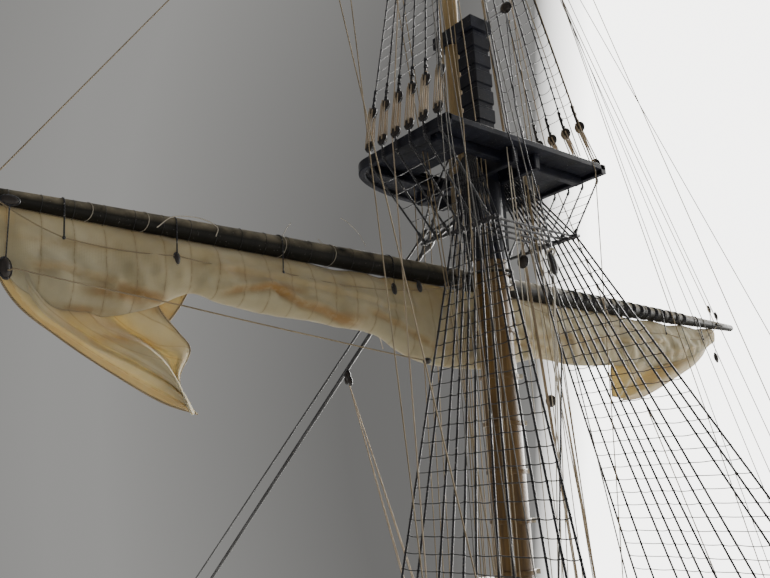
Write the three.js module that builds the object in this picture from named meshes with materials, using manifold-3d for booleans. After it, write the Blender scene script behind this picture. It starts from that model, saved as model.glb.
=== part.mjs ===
// Main mast of a scale model of a three-masted ship of the line, 1:78, from its heel to its truck:
// lower mast, top, cap, topmast and topgallant mast, four yards, the furled course, shrouds,
// channels and stays. Millimetres, +X forward, +Y to port, +Z up, origin at the heel of the mast.
import * as THREE from 'three';
import { mergeVertices } from 'three/addons/utils/BufferGeometryUtils.js';
import Module from 'manifold-3d';

const wasm = await Module();
wasm.setup();

// Driving dimensions

const GAP = 0.3;                 // clearance between neighbouring pieces
const TOP_Z = 300;               // upper edge of the top's rim above the heel
const DECK_Z = 22;               // underside of the partners
const MAST_RADIUS = 7.7;         // lower mast at the deck
const HOUNDS_RADIUS = 6.75;      // lower mast under the top
const HEAD_HALF = 4.54;          // half width of the square masthead
const HEAD_HEIGHT = 60.4;        // masthead from the top's rim to the cap
const HOOP_PITCH = 18;           // distance between two mast hoops
const HOOP_COUNT = 14;
const TOP_HALF = 46;             // half breadth of the top
const TOP_AFT = -27.6;           // aft edge of the top
const TOP_ROUND = 21.5;          // where the top's sides turn into its round front
const CAP_TOP = 65.9;
const TOPMAST_X = 12.64;
const TOPMAST_RADIUS = 3.4;
const CROSSTREES = 232;          // topmast crosstrees above the top
const TOPGALLANT_X = 17.4;
const TRUCK = 440;               // truck above the top
const CHANNEL_DROP = 285;        // channels below the top
const CHANNEL_Y = 98;            // deadeyes of the lower shrouds from the centre line
const STAVE_DROP = 35;           // futtock staves below the top
const STAVE_Y = 23.8;
const STAY_END_X = 258;

// Colours and finishes

const material = (color, roughness, metalness = 0) =>
  new THREE.MeshStandardMaterial({ color, roughness, metalness });
const ochre = material(0x8a6a38, 0.5);
const blackPaint = material(0x23252f, 0.35);
const bareWood = material(0xa5834f, 0.45);
const darkSpar = material(0x2c261d, 0.4);
const tarred = material(0x15151b, 0.45);
const deckWood = material(0x9c7b4c, 0.6);
const cotton = material(0xd9c9a0, 0.9);

// Solids

const root = new THREE.Group();

function toManifold(geometry) {
  const bare = geometry.clone();
  bare.deleteAttribute('normal');
  bare.deleteAttribute('uv');
  const merged = mergeVertices(bare, 1e-4);
  const position = merged.attributes.position.array;
  const index = [];
  let volume = 0;
  const [a, b, c] = [new THREE.Vector3(), new THREE.Vector3(), new THREE.Vector3()];
  for (let i = 0; i < merged.index.count; i += 3) {
    const [p, q, r] = [merged.index.getX(i), merged.index.getX(i + 1), merged.index.getX(i + 2)];
    if (p === q || q === r || r === p) continue;
    a.fromArray(position, 3 * p);
    b.fromArray(position, 3 * q);
    c.fromArray(position, 3 * r);
    volume += a.dot(b.cross(c));
    index.push(p, q, r);
  }
  if (volume < 0) {
    for (let i = 0; i < index.length; i += 3) [index[i], index[i + 1]] = [index[i + 1], index[i]];
  }
  return new wasm.Manifold(new wasm.Mesh({
    numProp: 3,
    vertProperties: new Float32Array(position),
    triVerts: new Uint32Array(index),
  }));
}

function toGeometry(manifold) {
  const mesh = manifold.getMesh();
  const geometry = new THREE.BufferGeometry();
  geometry.setAttribute('position', new THREE.BufferAttribute(mesh.vertProperties.slice(), 3));
  geometry.setIndex(Array.from(mesh.triVerts));
  geometry.computeVertexNormals();
  return geometry;
}

const join = (geometries) => geometries.map(toManifold).reduce((sum, next) => sum.add(next));
const cut = (body, tools) => tools.map(toManifold).reduce((rest, tool) => rest.subtract(tool), body);

function add(name, finish, geometries, tools = []) {
  const mesh = new THREE.Mesh(toGeometry(cut(join([geometries].flat()), tools)), finish);
  mesh.name = name;
  root.add(mesh);
}

function block([x0, x1], [y0, y1], [z0, z1]) {
  const geometry = new THREE.BoxGeometry(x1 - x0, y1 - y0, z1 - z0);
  return geometry.translate((x0 + x1) / 2, (y0 + y1) / 2, (z0 + z1) / 2);
}

// A straight round bar from a to b, a little longer at both ends so that bars in a chain join up
function bar(a, b, radiusA, radiusB = radiusA, sides = 6) {
  const [start, end] = [new THREE.Vector3(...a), new THREE.Vector3(...b)];
  const along = end.clone().sub(start);
  const geometry = new THREE.CylinderGeometry(radiusB, radiusA, along.length() + 0.6 * radiusA, sides);
  const turn = new THREE.Quaternion().setFromUnitVectors(new THREE.Vector3(0, 1, 0),
    along.clone().normalize());
  geometry.applyQuaternion(turn);
  const middle = start.add(end).multiplyScalar(0.5);
  return geometry.translate(middle.x, middle.y, middle.z);
}

// A closed skin over rings of equally many corners
function loft(rings) {
  const count = rings[0].length;
  const position = rings.flat(2);
  const index = [];
  for (let i = 0; i < rings.length - 1; i += 1) {
    for (let j = 0; j < count; j += 1) {
      const [a, b] = [i * count + j, i * count + ((j + 1) % count)];
      index.push(a, b, a + count, b, b + count, a + count);
    }
  }
  for (let j = 1; j < count - 1; j += 1) {
    const last = (rings.length - 1) * count;
    index.push(0, j + 1, j, last, last + j, last + j + 1);
  }
  const geometry = new THREE.BufferGeometry();
  geometry.setAttribute('position', new THREE.Float32BufferAttribute(position, 3));
  geometry.setIndex(index);
  return geometry;
}

// One rope through all its points: a ring of corners at each, square to the way the rope runs there
function rope(points, radius, sides = 5) {
  const path = points.map((point) => new THREE.Vector3(...point));
  const rings = path.map((point, i) => {
    const back = path[Math.max(i - 1, 0)];
    const ahead = path[Math.min(i + 1, path.length - 1)];
    const along = ahead.clone().sub(back).normalize();
    const side = new THREE.Vector3(0, 0, 1).cross(along);
    if (side.length() < 0.05) side.set(1, 0, 0).addScaledVector(along, -along.x);
    side.normalize();
    const up = along.clone().cross(side);
    return Array.from({ length: sides }, (_, j) => {
      const angle = (2 * Math.PI * j) / sides;
      return point.clone().addScaledVector(side, radius * Math.cos(angle))
        .addScaledVector(up, radius * Math.sin(angle)).toArray();
    });
  });
  return loft(rings);
}

// A turned piece on the axis through (x, y), from rows of [height, radius]
function turned(x, y, rows, segments = 14) {
  const profile = rows.map(([height, radius]) => new THREE.Vector2(radius, height));
  profile.unshift(new THREE.Vector2(0, rows[0][0]));
  profile.push(new THREE.Vector2(0, rows.at(-1)[0]));
  const geometry = new THREE.LatheGeometry(profile, segments);
  geometry.rotateX(Math.PI / 2);
  return geometry.translate(x, y, 0);
}

// A round disc such as a deadeye, with its flat sides to port and starboard
const disc = ([x, y, z], radius, thickness, sides = 8) =>
  new THREE.CylinderGeometry(radius, radius, thickness, sides).translate(x, y, z);

const top = (z) => TOP_Z + z;
const mirror = (points, side) => points.map(([x, y, z]) => [x, side * y, z]);
const SIDES = [['port', 1], ['starboard', -1]];
const mix = (a, b, t) => a + (b - a) * t;

// Lower mast: ochre up to the black hounds, with raised hoops at even pitch

const BLACK_FROM = top(-43);
const FIRST_HOOP = top(-53.5);
const HOOP_HALF = 0.85;
const HOOP_PROUD = 0.8;
const mastRadius = (z) => mix(MAST_RADIUS, HOUNDS_RADIUS, z / BLACK_FROM);
const mastRows = [[0, mastRadius(0)]];
for (let i = HOOP_COUNT - 1; i >= 0; i -= 1) {
  const z = FIRST_HOOP - HOOP_PITCH * i;
  mastRows.push([z - HOOP_HALF, mastRadius(z)], [z - HOOP_HALF, mastRadius(z) + HOOP_PROUD]);
  mastRows.push([z + HOOP_HALF, mastRadius(z) + HOOP_PROUD], [z + HOOP_HALF, mastRadius(z)]);
}
mastRows.push([BLACK_FROM, HOUNDS_RADIUS]);
add('lower_mast', ochre, turned(0, 0, mastRows));

// Hounds with cheeks under the trestletrees, and the banded square masthead

const TREE_BOTTOM = top(-9);
const TREE_TOP = top(-2.7);
const TREE_IN = HEAD_HALF + 0.36;
const TREE_OUT = TREE_IN + 3;
const CHEEK = { aft: -4.6, fore: 6, foot: top(-38), half: TREE_OUT - 0.4 };
const TENON_HALF = HEAD_HALF - 1.2;
const BAND_FIRST = top(17.8);
const BAND_PITCH = 8.5;
const BAND_HEIGHT = 6.4;
const BAND_PROUD = 0.5;
const BAND_COUNT = 5;
const square = (half, z0, z1) => block([-half, half], [-half, half], [z0, z1]);
const headPieces = [
  turned(0, 0, [[BLACK_FROM + GAP, HOUNDS_RADIUS], [TREE_BOTTOM - GAP, HOUNDS_RADIUS]]),
  square(HEAD_HALF, TREE_BOTTOM - 8, top(HEAD_HEIGHT - GAP)),
  square(TENON_HALF, top(HEAD_HEIGHT - 1), top(CAP_TOP)),
  block([CHEEK.aft, CHEEK.fore], [-CHEEK.half, CHEEK.half], [CHEEK.foot, TREE_BOTTOM - GAP]),
];
for (let i = 0; i < BAND_COUNT; i += 1) {
  const z = BAND_FIRST + BAND_PITCH * i;
  headPieces.push(square(HEAD_HALF + BAND_PROUD, z, z + BAND_HEIGHT));
}
add('masthead', blackPaint, headPieces);

// Trestletrees and crosstrees that carry the top

const TREE_SPAN = [-24, 34];
const CROSSTREE_X = [-16, 21.5];
const CROSSTREE_HALF = 1.8;
const CROSSTREE_REACH = 42;
const CROSSTREE_BOTTOM = top(-6.2);
const framePieces = [
  block(TREE_SPAN, [TREE_IN, TREE_OUT], [TREE_BOTTOM, TREE_TOP]),
  block(TREE_SPAN, [-TREE_OUT, -TREE_IN], [TREE_BOTTOM, TREE_TOP]),
];
for (const x of CROSSTREE_X) {
  framePieces.push(block([x - CROSSTREE_HALF, x + CROSSTREE_HALF], [-CROSSTREE_REACH, CROSSTREE_REACH],
    [CROSSTREE_BOTTOM, TREE_TOP]));
}
add('top_frame', blackPaint, framePieces);

// The top: a floor with a deeper rim, straight aft and rounded in front, and the lubber's hole

const RIM_WIDTH = 3;
const RIM_DEPTH = 4.2;
const AFT_RIM_DEPTH = 2.4;
const FLOOR_TOP = top(-1);
const HOLE = { aft: -13, fore: 18.9, half: 19 };

function topOutline(inset) {
  const half = TOP_HALF - inset;
  const shape = new THREE.Shape();
  shape.moveTo(TOP_AFT + inset, -half);
  shape.lineTo(TOP_ROUND, -half);
  shape.absellipse(TOP_ROUND, 0, TOP_ROUND - inset, half, -Math.PI / 2, Math.PI / 2, false);
  shape.lineTo(TOP_AFT + inset, half);
  shape.closePath();
  return shape;
}

const slab = (shape, z0, z1) =>
  new THREE.ExtrudeGeometry(shape, { depth: z1 - z0, bevelEnabled: false, curveSegments: 10 })
    .translate(0, 0, z0);
const wholeRim = join([slab(topOutline(0), top(-RIM_DEPTH), top(0))]);
const rimTools = [
  slab(topOutline(RIM_WIDTH), top(-RIM_DEPTH - 1), top(1)),
  block([TOP_AFT - 1, TOP_AFT + RIM_WIDTH], [-TOP_HALF - 1, TOP_HALF + 1],
    [top(-RIM_DEPTH - 1), top(-AFT_RIM_DEPTH)]),
];
const floor = join([slab(topOutline(1), TREE_TOP + GAP, FLOOR_TOP)]);
const platform = cut(floor.add(cut(wholeRim, rimTools)),
  [block([HOLE.aft, HOLE.fore], [-HOLE.half, HOLE.half], [top(-RIM_DEPTH - 1), top(1)])]);
const topMesh = new THREE.Mesh(toGeometry(platform), blackPaint);
topMesh.name = 'top_platform';
root.add(topMesh);

// Cap: holds the topmast in front of the masthead

const CAP_HALF = 6.2;
const roundHole = (x, radius, z0, z1, segments) =>
  turned(x, 0, [[z0 - 1, radius], [z1 + 1, radius]], segments);
add('lower_cap', blackPaint,
  block([-5.6, 18.8], [-CAP_HALF, CAP_HALF], [top(HEAD_HEIGHT), top(CAP_TOP)]),
  [roundHole(TOPMAST_X, TOPMAST_RADIUS + GAP, top(HEAD_HEIGHT), top(CAP_TOP), 20),
    square(TENON_HALF + GAP, top(HEAD_HEIGHT - 1), top(CAP_TOP + 1))]);

// Topmast with its square heel and fid, its crosstrees and cap

const HEEL = { half: 3.3, foot: top(-9.4), top: top(8) };
const TAPER_FROM = top(80);
const TOPMAST_HEAD = top(266);
const TOPMAST_HOUNDS = top(CROSSTREES - 4);
const SMALL_HEAD_HALF = 2.1;
const FID = { half: 1.2, reach: 8.2, top: top(-0.6) };
const atTopmast = (half, z0, z1) =>
  block([TOPMAST_X - half, TOPMAST_X + half], [-half, half], [z0, z1]);
add('topmast', bareWood, [
  atTopmast(HEEL.half, HEEL.foot, HEEL.top),
  turned(TOPMAST_X, 0, [
    [HEEL.top - 1, TOPMAST_RADIUS], [TAPER_FROM, TOPMAST_RADIUS], [TOPMAST_HOUNDS, 2.9]]),
  atTopmast(SMALL_HEAD_HALF, TOPMAST_HOUNDS - 2, TOPMAST_HEAD),
  block([TOPMAST_X - FID.half, TOPMAST_X + FID.half], [-FID.reach, FID.reach], [TREE_TOP + GAP, FID.top]),
]);

const SMALL_TREE_SPAN = [0.4, 23.4];
const SMALL_TREE_BOTTOM = top(CROSSTREES - 3.4);
const ARM_Z = top(CROSSTREES - 0.8);
const SMALL_TREE_IN = 2.5;
const SMALL_TREE_OUT = 4.1;
const ARM_TABLE = [              // crosstree arms: x at the mast, x at the tip, half length
  [21.2, 12.6, 23],
  [8.6, 1.5, 23],
  [2.6, -6.5, 21],
];
const smallFrame = [];
for (const [, side] of SIDES) {
  const span = side > 0 ? [SMALL_TREE_IN, SMALL_TREE_OUT] : [-SMALL_TREE_OUT, -SMALL_TREE_IN];
  smallFrame.push(block(SMALL_TREE_SPAN, span, [SMALL_TREE_BOTTOM, top(CROSSTREES)]));
  for (const [rootX, tipX, half] of ARM_TABLE) {
    smallFrame.push(bar([rootX, 0, ARM_Z], [tipX, side * half, ARM_Z], 0.85, 0.6, 4));
  }
}
add('topmast_crosstrees', blackPaint, smallFrame);

// Small cap, topgallant mast and truck

const TOPGALLANT_RADIUS = 1.8;
const SMALL_CAP = { half: 3.2, bottom: top(262), top: top(265.4) };
add('topmast_cap', blackPaint,
  block([TOPMAST_X - SMALL_CAP.half, TOPGALLANT_X + 3.4], [-SMALL_CAP.half, SMALL_CAP.half],
    [SMALL_CAP.bottom, SMALL_CAP.top]),
  [atTopmast(SMALL_HEAD_HALF + GAP, SMALL_CAP.bottom - 1, SMALL_CAP.top + 1),
    roundHole(TOPGALLANT_X, TOPGALLANT_RADIUS + GAP + 0.1, SMALL_CAP.bottom, SMALL_CAP.top, 16)]);
const UPPER_STOP = top(350);
add('topgallant_mast', bareWood, turned(TOPGALLANT_X, 0, [
  [top(CROSSTREES - 5), TOPGALLANT_RADIUS], [top(270), TOPGALLANT_RADIUS], [UPPER_STOP - 2, 1.5],
  [UPPER_STOP, 1.9], [UPPER_STOP + 1.5, 1.15], [top(TRUCK), 0.75]], 12));
add('mast_truck', blackPaint, turned(TOPGALLANT_X, 0, [
  [top(TRUCK) + GAP, 1.5], [top(TRUCK) + 0.9, 2.1], [top(TRUCK) + 1.6, 1.6], [top(TRUCK) + 2.1, 0.6]], 12));

// Partners in the deck, and the bitts on which the running ropes are made fast

const PARTNER_TOP = DECK_Z + 4;
const PARTNER_HALF = { x: 42, y: 32 };
const BITT_X = 25;
const BITT_Y = 14;
const BITT_HALF = 2;
const BITT_TOP = PARTNER_TOP + 16;
const RAIL = { half: 1.4, reach: 19, bottom: PARTNER_TOP + 9, top: PARTNER_TOP + 12 };
add('mast_partners', deckWood,
  block([-PARTNER_HALF.x, PARTNER_HALF.x], [-PARTNER_HALF.y, PARTNER_HALF.y], [DECK_Z, PARTNER_TOP]),
  [roundHole(0, MAST_RADIUS + HOOP_PROUD + 0.6, DECK_Z, PARTNER_TOP, 20)]);
for (const [name, x] of [['fore_bitts', BITT_X], ['aft_bitts', -BITT_X]]) {
  const pieces = [
    block([x - RAIL.half, x + RAIL.half], [-RAIL.reach, RAIL.reach], [RAIL.bottom, RAIL.top])];
  for (const y of [-BITT_Y, BITT_Y]) {
    pieces.push(block([x - BITT_HALF, x + BITT_HALF], [y - BITT_HALF, y + BITT_HALF],
      [PARTNER_TOP + GAP, BITT_TOP]));
  }
  add(name, deckWood, pieces);
}

// Lower shrouds: from the masthead over the bolsters, out to the futtock staves, down to the channels

const DEADEYE_X = [-12, -25, -43, -51.5, -60, -68.5, -85, -94, -117.5, -127.5, -137.5];
const SHROUD_RADIUS = 0.42;
const SHROUD_AT_STAVE = { x: -2.5, pitch: -2.4, y: 22.2 };
const SHROUD_AT_HEAD = { fore: 4.4, aft: -4.6, y: 6.6, z: top(3) };
const BOLSTER = { spread: 1.05, y: 9, z: top(-1) };
const COLLAR = { half: 5.2, y: [5.2, 7.6], z: [top(0.4), top(8.6)] };
const DEADEYE_RADIUS = 2.4;
const DEADEYE_THICK = 2.2;
const LOWER_EYE_RISE = 4.4;            // deadeye centres above the channel
const UPPER_EYE_RISE = 14.6;

for (const [name, side] of SIDES) {
  const collarY = side > 0 ? COLLAR.y : [-COLLAR.y[1], -COLLAR.y[0]];
  const gang = [block([-COLLAR.half, COLLAR.half], collarY, COLLAR.z)];
  DEADEYE_X.forEach((footX, i) => {
    const staveX = SHROUD_AT_STAVE.x + SHROUD_AT_STAVE.pitch * i;
    const headX = mix(SHROUD_AT_HEAD.fore, SHROUD_AT_HEAD.aft, i / (DEADEYE_X.length - 1));
    const down = (CHANNEL_DROP - UPPER_EYE_RISE - STAVE_DROP) / (CHANNEL_DROP - STAVE_DROP);
    const eye = [mix(staveX, footX, down), mix(SHROUD_AT_STAVE.y, CHANNEL_Y, down),
      top(UPPER_EYE_RISE - CHANNEL_DROP)];
    const route = [[headX, SHROUD_AT_HEAD.y, SHROUD_AT_HEAD.z],
      [headX * BOLSTER.spread, BOLSTER.y, BOLSTER.z], [staveX, SHROUD_AT_STAVE.y, top(-STAVE_DROP)], eye];
    gang.push(rope(mirror(route, side), SHROUD_RADIUS));
    gang.push(disc([eye[0], side * eye[1], eye[2]], DEADEYE_RADIUS, DEADEYE_THICK));
  });
  add(`${name}_shrouds`, tarred, gang);
}

// Channels with the lower deadeyes in their straps and the chain plates below

const CHANNEL_TOP = top(-CHANNEL_DROP);
const CHANNEL_SPAN = [-146, -4];
const CHANNEL_WIDTH = [88, 99.6];
const CHANNEL_THICK = 1.8;
const STRAP_HALF = 0.5;
const CHAIN_PLATE = { y: 89.5, drop: 14 };
for (const [name, side] of SIDES) {
  const width = side > 0 ? CHANNEL_WIDTH : [-CHANNEL_WIDTH[1], -CHANNEL_WIDTH[0]];
  const eyeY = side * CHANNEL_Y;
  const pieces = [block(CHANNEL_SPAN, width, [CHANNEL_TOP - CHANNEL_THICK, CHANNEL_TOP])];
  for (const x of DEADEYE_X) {
    pieces.push(disc([x, eyeY, CHANNEL_TOP + LOWER_EYE_RISE], DEADEYE_RADIUS, DEADEYE_THICK));
    pieces.push(block([x - STRAP_HALF, x + STRAP_HALF], [eyeY - STRAP_HALF, eyeY + STRAP_HALF],
      [CHANNEL_TOP - 1, CHANNEL_TOP + 3]));
    pieces.push(bar([x, eyeY - side * 0.6, CHANNEL_TOP - 1.2],
      [x, side * CHAIN_PLATE.y, CHANNEL_TOP - CHAIN_PLATE.drop], STRAP_HALF, STRAP_HALF, 4));
  }
  add(`${name}_channel`, blackPaint, pieces);
}

// Topmast deadeyes on the edge of the top, their futtock shrouds and the stave that they end on

const FUTTOCK_COUNT = 6;
// the aftmost deadeyes, lower and upper, and their pitch; the starboard row stands further forward
const TOP_ROW = {
  port: { lower: -25, upper: -24.8, pitch: 8.18, upperY: 44.4, upperZ: 18 },
  starboard: { lower: -22, upper: -18.5, pitch: 7.8, upperY: 43.6, upperZ: 20.7 },
};
const TOP_EYE = { y: 46.9, z: 2.6, radius: 2.25, thick: 2.1 };
const STAVE_RADIUS = 0.75;
const STAVE_SPAN = [-27, 14.3];
const FUTTOCK_RADIUS = 0.42;
const futtockGripX = (i) => -24 + 7.2 * i;
for (const [name, side] of SIDES) {
  const staveY = side * STAVE_Y;
  const plateY = side * (TOP_EYE.y + 0.2);
  const pieces = [bar([STAVE_SPAN[0], staveY, top(-STAVE_DROP)], [STAVE_SPAN[1], staveY, top(-STAVE_DROP)],
    STAVE_RADIUS, STAVE_RADIUS, 8)];
  for (let i = 0; i < FUTTOCK_COUNT; i += 1) {
    const x = TOP_ROW[name].lower + TOP_ROW[name].pitch * i;
    const plateFoot = [x, plateY, top(-5)];
    pieces.push(disc([x, side * TOP_EYE.y, top(TOP_EYE.z)], TOP_EYE.radius, TOP_EYE.thick));
    pieces.push(bar([x, plateY, top(1)], plateFoot, 0.5));
    pieces.push(bar(plateFoot, [futtockGripX(i), staveY, top(-STAVE_DROP)], FUTTOCK_RADIUS));
  }
  add(`${name}_futtock_shrouds`, tarred, pieces);
}

// Catharpins that draw the two staves together abaft the mast

const CATHARPIN_COUNT = 4;
const CATHARPIN_RADIUS = 0.5;
for (let i = 0; i < CATHARPIN_COUNT; i += 1) {
  const x = SHROUD_AT_STAVE.x + SHROUD_AT_STAVE.pitch * (3.5 + 2 * i);
  const reach = STAVE_Y - STAVE_RADIUS - CATHARPIN_RADIUS - GAP;
  add(`catharpin_${i + 1}`, tarred,
    bar([x, -reach, top(-STAVE_DROP)], [x, reach, top(-STAVE_DROP)], CATHARPIN_RADIUS));
}

// Topmast and topgallant shrouds

const TOPMAST_COLLAR = { aft: -2.4, fore: 2, y: [2.4, 4], height: 6 };
const TOPGALLANT_COLLAR = { aft: -1.4, fore: 0.8, y: [1.6, 2.9], z: [UPPER_STOP + 1.8, UPPER_STOP + 4] };
const eitherSide = ([inner, outer], side) => (side > 0 ? [inner, outer] : [-outer, -inner]);
for (const [name, side] of SIDES) {
  const headZ = top(CROSSTREES + TOPMAST_COLLAR.height);
  const pieces = [block([TOPMAST_X + TOPMAST_COLLAR.aft, TOPMAST_X + TOPMAST_COLLAR.fore],
    eitherSide(TOPMAST_COLLAR.y, side), [top(CROSSTREES + GAP), headZ])];
  for (let i = 0; i < FUTTOCK_COUNT; i += 1) {
    const row = TOP_ROW[name];
    const eye = [row.upper + row.pitch * i, row.upperY, top(row.upperZ)];
    const headX = TOPMAST_X - 2.4 + 0.5 * i;
    const route = [[headX, 3.6, headZ - 2], [headX, 5.2, top(CROSSTREES + 0.8)], eye];
    pieces.push(rope(mirror(route, side), 0.35));
    pieces.push(disc([eye[0], side * eye[1], eye[2]], TOP_EYE.radius, TOP_EYE.thick));
  }
  add(`${name}_topmast_shrouds`, tarred, pieces);
}
for (const [name, side] of SIDES) {
  const pieces = [block([TOPGALLANT_X + TOPGALLANT_COLLAR.aft, TOPGALLANT_X + TOPGALLANT_COLLAR.fore],
    eitherSide(TOPGALLANT_COLLAR.y, side), TOPGALLANT_COLLAR.z)];
  ARM_TABLE.forEach(([, tipX, half], i) => {
    pieces.push(bar([TOPGALLANT_X - 0.7 * i, side * 2.3, UPPER_STOP + 3],
      [tipX, side * (half - 0.6), top(CROSSTREES) + 0.8], 0.28));
  });
  add(`${name}_topgallant_shrouds`, tarred, pieces);
}

// Main stay and preventer stay: a collar round the masthead, two legs, a mouse and a heart

// name, collar height, spread of the legs, radius, mouse x and z, end x and z
const STAY_TABLE = [
  ['main_stay', 11, 0, 0.95, 37, -25.2, STAY_END_X, -184],
  ['preventer_stay', 14.4, 2.1, 0.5, 41, -20.6, STAY_END_X + 18, -182.5],
];
const LEG_TABLE = [[9.5, 9.4, -1], [18, 9.2, -11.6]];
for (const [name, height, spread, radius, mouseX, mouseZ, endX, endZ] of STAY_TABLE) {
  const half = HEAD_HALF + 1.3;
  const corners = [[half, half], [-half, half], [-half, -half], [half, -half], [half, half]];
  const pieces = corners.slice(1).map(([x, y], i) =>
    bar([...corners[i], top(height)], [x, y, top(height)], radius));
  const [[bolsterX, bolsterY, bolsterZ], [kneeX, kneeY, kneeZ]] = LEG_TABLE;
  for (const [, side] of SIDES) {
    const route = [[half, half, top(height)], [bolsterX + spread, bolsterY + spread, top(bolsterZ)],
      [kneeX + spread, kneeY + spread, top(kneeZ + spread)], [mouseX, 0, top(mouseZ)]];
    pieces.push(rope(mirror(route, side), radius * 0.8, 6));
  }
  pieces.push(bar([mouseX - 4, 0, top(mouseZ + 2.9)], [mouseX + 1, 0, top(mouseZ - 0.7)],
    radius * 2, radius * 2.2, 8));
  pieces.push(bar([mouseX, 0, top(mouseZ)], [endX, 0, top(endZ)], radius, radius, 8));
  pieces.push(disc([endX + 2, 0, top(endZ - 1.4)], 2.2 + radius * 1.6, 2, 12));
  add(name, tarred, pieces);
}

// Yards: each a tapered spar with its own turning joint at the mast

// share of the half length, share of the radius amidships
const YARD_TAPER = [[0.12, 1], [0.25, 0.97], [0.5, 0.88], [0.75, 0.7], [1, 0.43]];

// A spar across the ship; topped is how far its port arm points upwards, in radians
function spar(x, z, half, radius, topped) {
  const port = YARD_TAPER.map(([share, girth]) => [share * half, girth * radius]);
  const starboard = port.toReversed().map(([y, r]) => [-y, r]);
  return turned(0, 0, [...starboard, ...port], 12).rotateX(topped - Math.PI / 2).translate(x, 0, z);
}

const PARREL_STEPS = 6;
const PARREL_PLAY = 0.75;

// The truss or parrel: an open collar behind the mast, carried by two arms from the yard
function parrel(mastX, yardX, z, reach, ropeRadius) {
  const arc = [[yardX, reach, z]];
  for (let i = 0; i <= PARREL_STEPS; i += 1) {
    const angle = Math.PI / 2 + (Math.PI * i) / PARREL_STEPS;
    arc.push([mastX + reach * Math.cos(angle), reach * Math.sin(angle), z]);
  }
  arc.push([yardX, -reach, z]);
  return rope(arc, ropeRadius, 4);
}

const MAIN_YARD = { x: 11.34, z: -48, radius: 4.2, topped: 0.0075 };
// name, mast x, mast radius, yard x, height, half length, radius, topped
const YARD_TABLE = [
  ['main_yard', 0, 6.9, MAIN_YARD.x, MAIN_YARD.z, 203, MAIN_YARD.radius, MAIN_YARD.topped],
  ['topsail_yard', TOPMAST_X, 3.1, TOPMAST_X + 8.1, 198, 142, 2.45, 0],
  ['topgallant_yard', TOPGALLANT_X, 1.75, TOPGALLANT_X + 4.3, 310, 94, 1.55, 0],
  ['royal_yard', TOPGALLANT_X, 1.2, TOPGALLANT_X + 3.3, 385, 68, 1.1, 0],
];
for (const [name, mastX, mastR, yardX, z, half, radius, topped] of YARD_TABLE) {
  const ropeRadius = (0.7 + radius * 0.12) * 0.7;
  const reach = mastR + PARREL_PLAY + ropeRadius;
  add(name, darkSpar, [spar(yardX, top(z), half, radius, topped),
    parrel(mastX, yardX, top(z), reach, ropeRadius)]);
}

// Sling of the main yard, from the trestletrees to a thimble over the yard

const SLING_FOOT = [MAIN_YARD.x, 0, top(MAIN_YARD.z + MAIN_YARD.radius + 1.2)];
const slingHead = (side) => [MAIN_YARD.x, side * 6.4, TREE_BOTTOM - 2 * GAP];
add('main_yard_sling', tarred, [
  bar(slingHead(1), SLING_FOOT, 0.6),
  bar(slingHead(-1), SLING_FOOT, 0.6),
  disc([MAIN_YARD.x, 0, SLING_FOOT[2] + 0.2], 1.1, 1.6),
]);

// The course, hauled up to its yard: lofted over stations across the ship

const SAIL_TOP = top(MAIN_YARD.z - MAIN_YARD.radius - 0.5);
const SAIL_TABLE = [             // station y, lowest point below the top, middle x, half thickness
  [190, -60, 12.5, 1.6],
  [179, -71.5, 13.5, 3.5],
  [162, -84, 14.5, 5.5],
  [146, -94, 15, 7],
  [122, -104.4, 14.5, 6],
  [112, -92, 14, 6],
  [98, -71.5, 14, 5.5],
  [66, -72, 14, 5.5],
  [40, -75, 14, 5.5],
  [20, -83, 14.4, 5.6],
  [-8, -84, 14.4, 5.6],
  [-38, -77, 14, 5.5],
  [-60, -79, 14, 5.5],
  [-88, -78, 14, 5.5],
  [-93, -92.5, 14, 6],
  [-117, -90, 14.5, 6],
  [-152, -76.5, 14, 5],
  [-183, -62, 13, 3],
  [-190, -58, 12.5, 1.6],
];
const SECTION = [                // fraction of the depth, fraction of the half thickness, one side
  [0, 0.3], [0.22, 0.95], [0.62, 1], [0.93, 0.55], [1, 0.12],
];

const sailRings = SAIL_TABLE.map(([y, low, x, half]) => {
  const place = ([depth, width], sign) => [x + sign * half * width, y, mix(SAIL_TOP, top(low), depth)];
  return [...SECTION.map((row) => place(row, 1)), ...SECTION.toReversed().map((row) => place(row, -1))];
});
add('main_course', cotton, loft(sailRings));

export default root;
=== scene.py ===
# %% [markdown]
# # A ship model's main mast, dressed for its portrait
#
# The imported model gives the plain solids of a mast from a 1:78 sailing ship: spars, top, yards,
# shrouds and a hauled-up sail. Each cell below makes one real piece of the rigging with more care,
# in metres, in the same frame. Heights inside the cells are millimetres from the rim of the top,
# because every rope on this mast starts, turns or passes there.

# %% Load the frame
import math

import bmesh
import bpy
import numpy as np
from mathutils import Matrix, Vector


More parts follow.
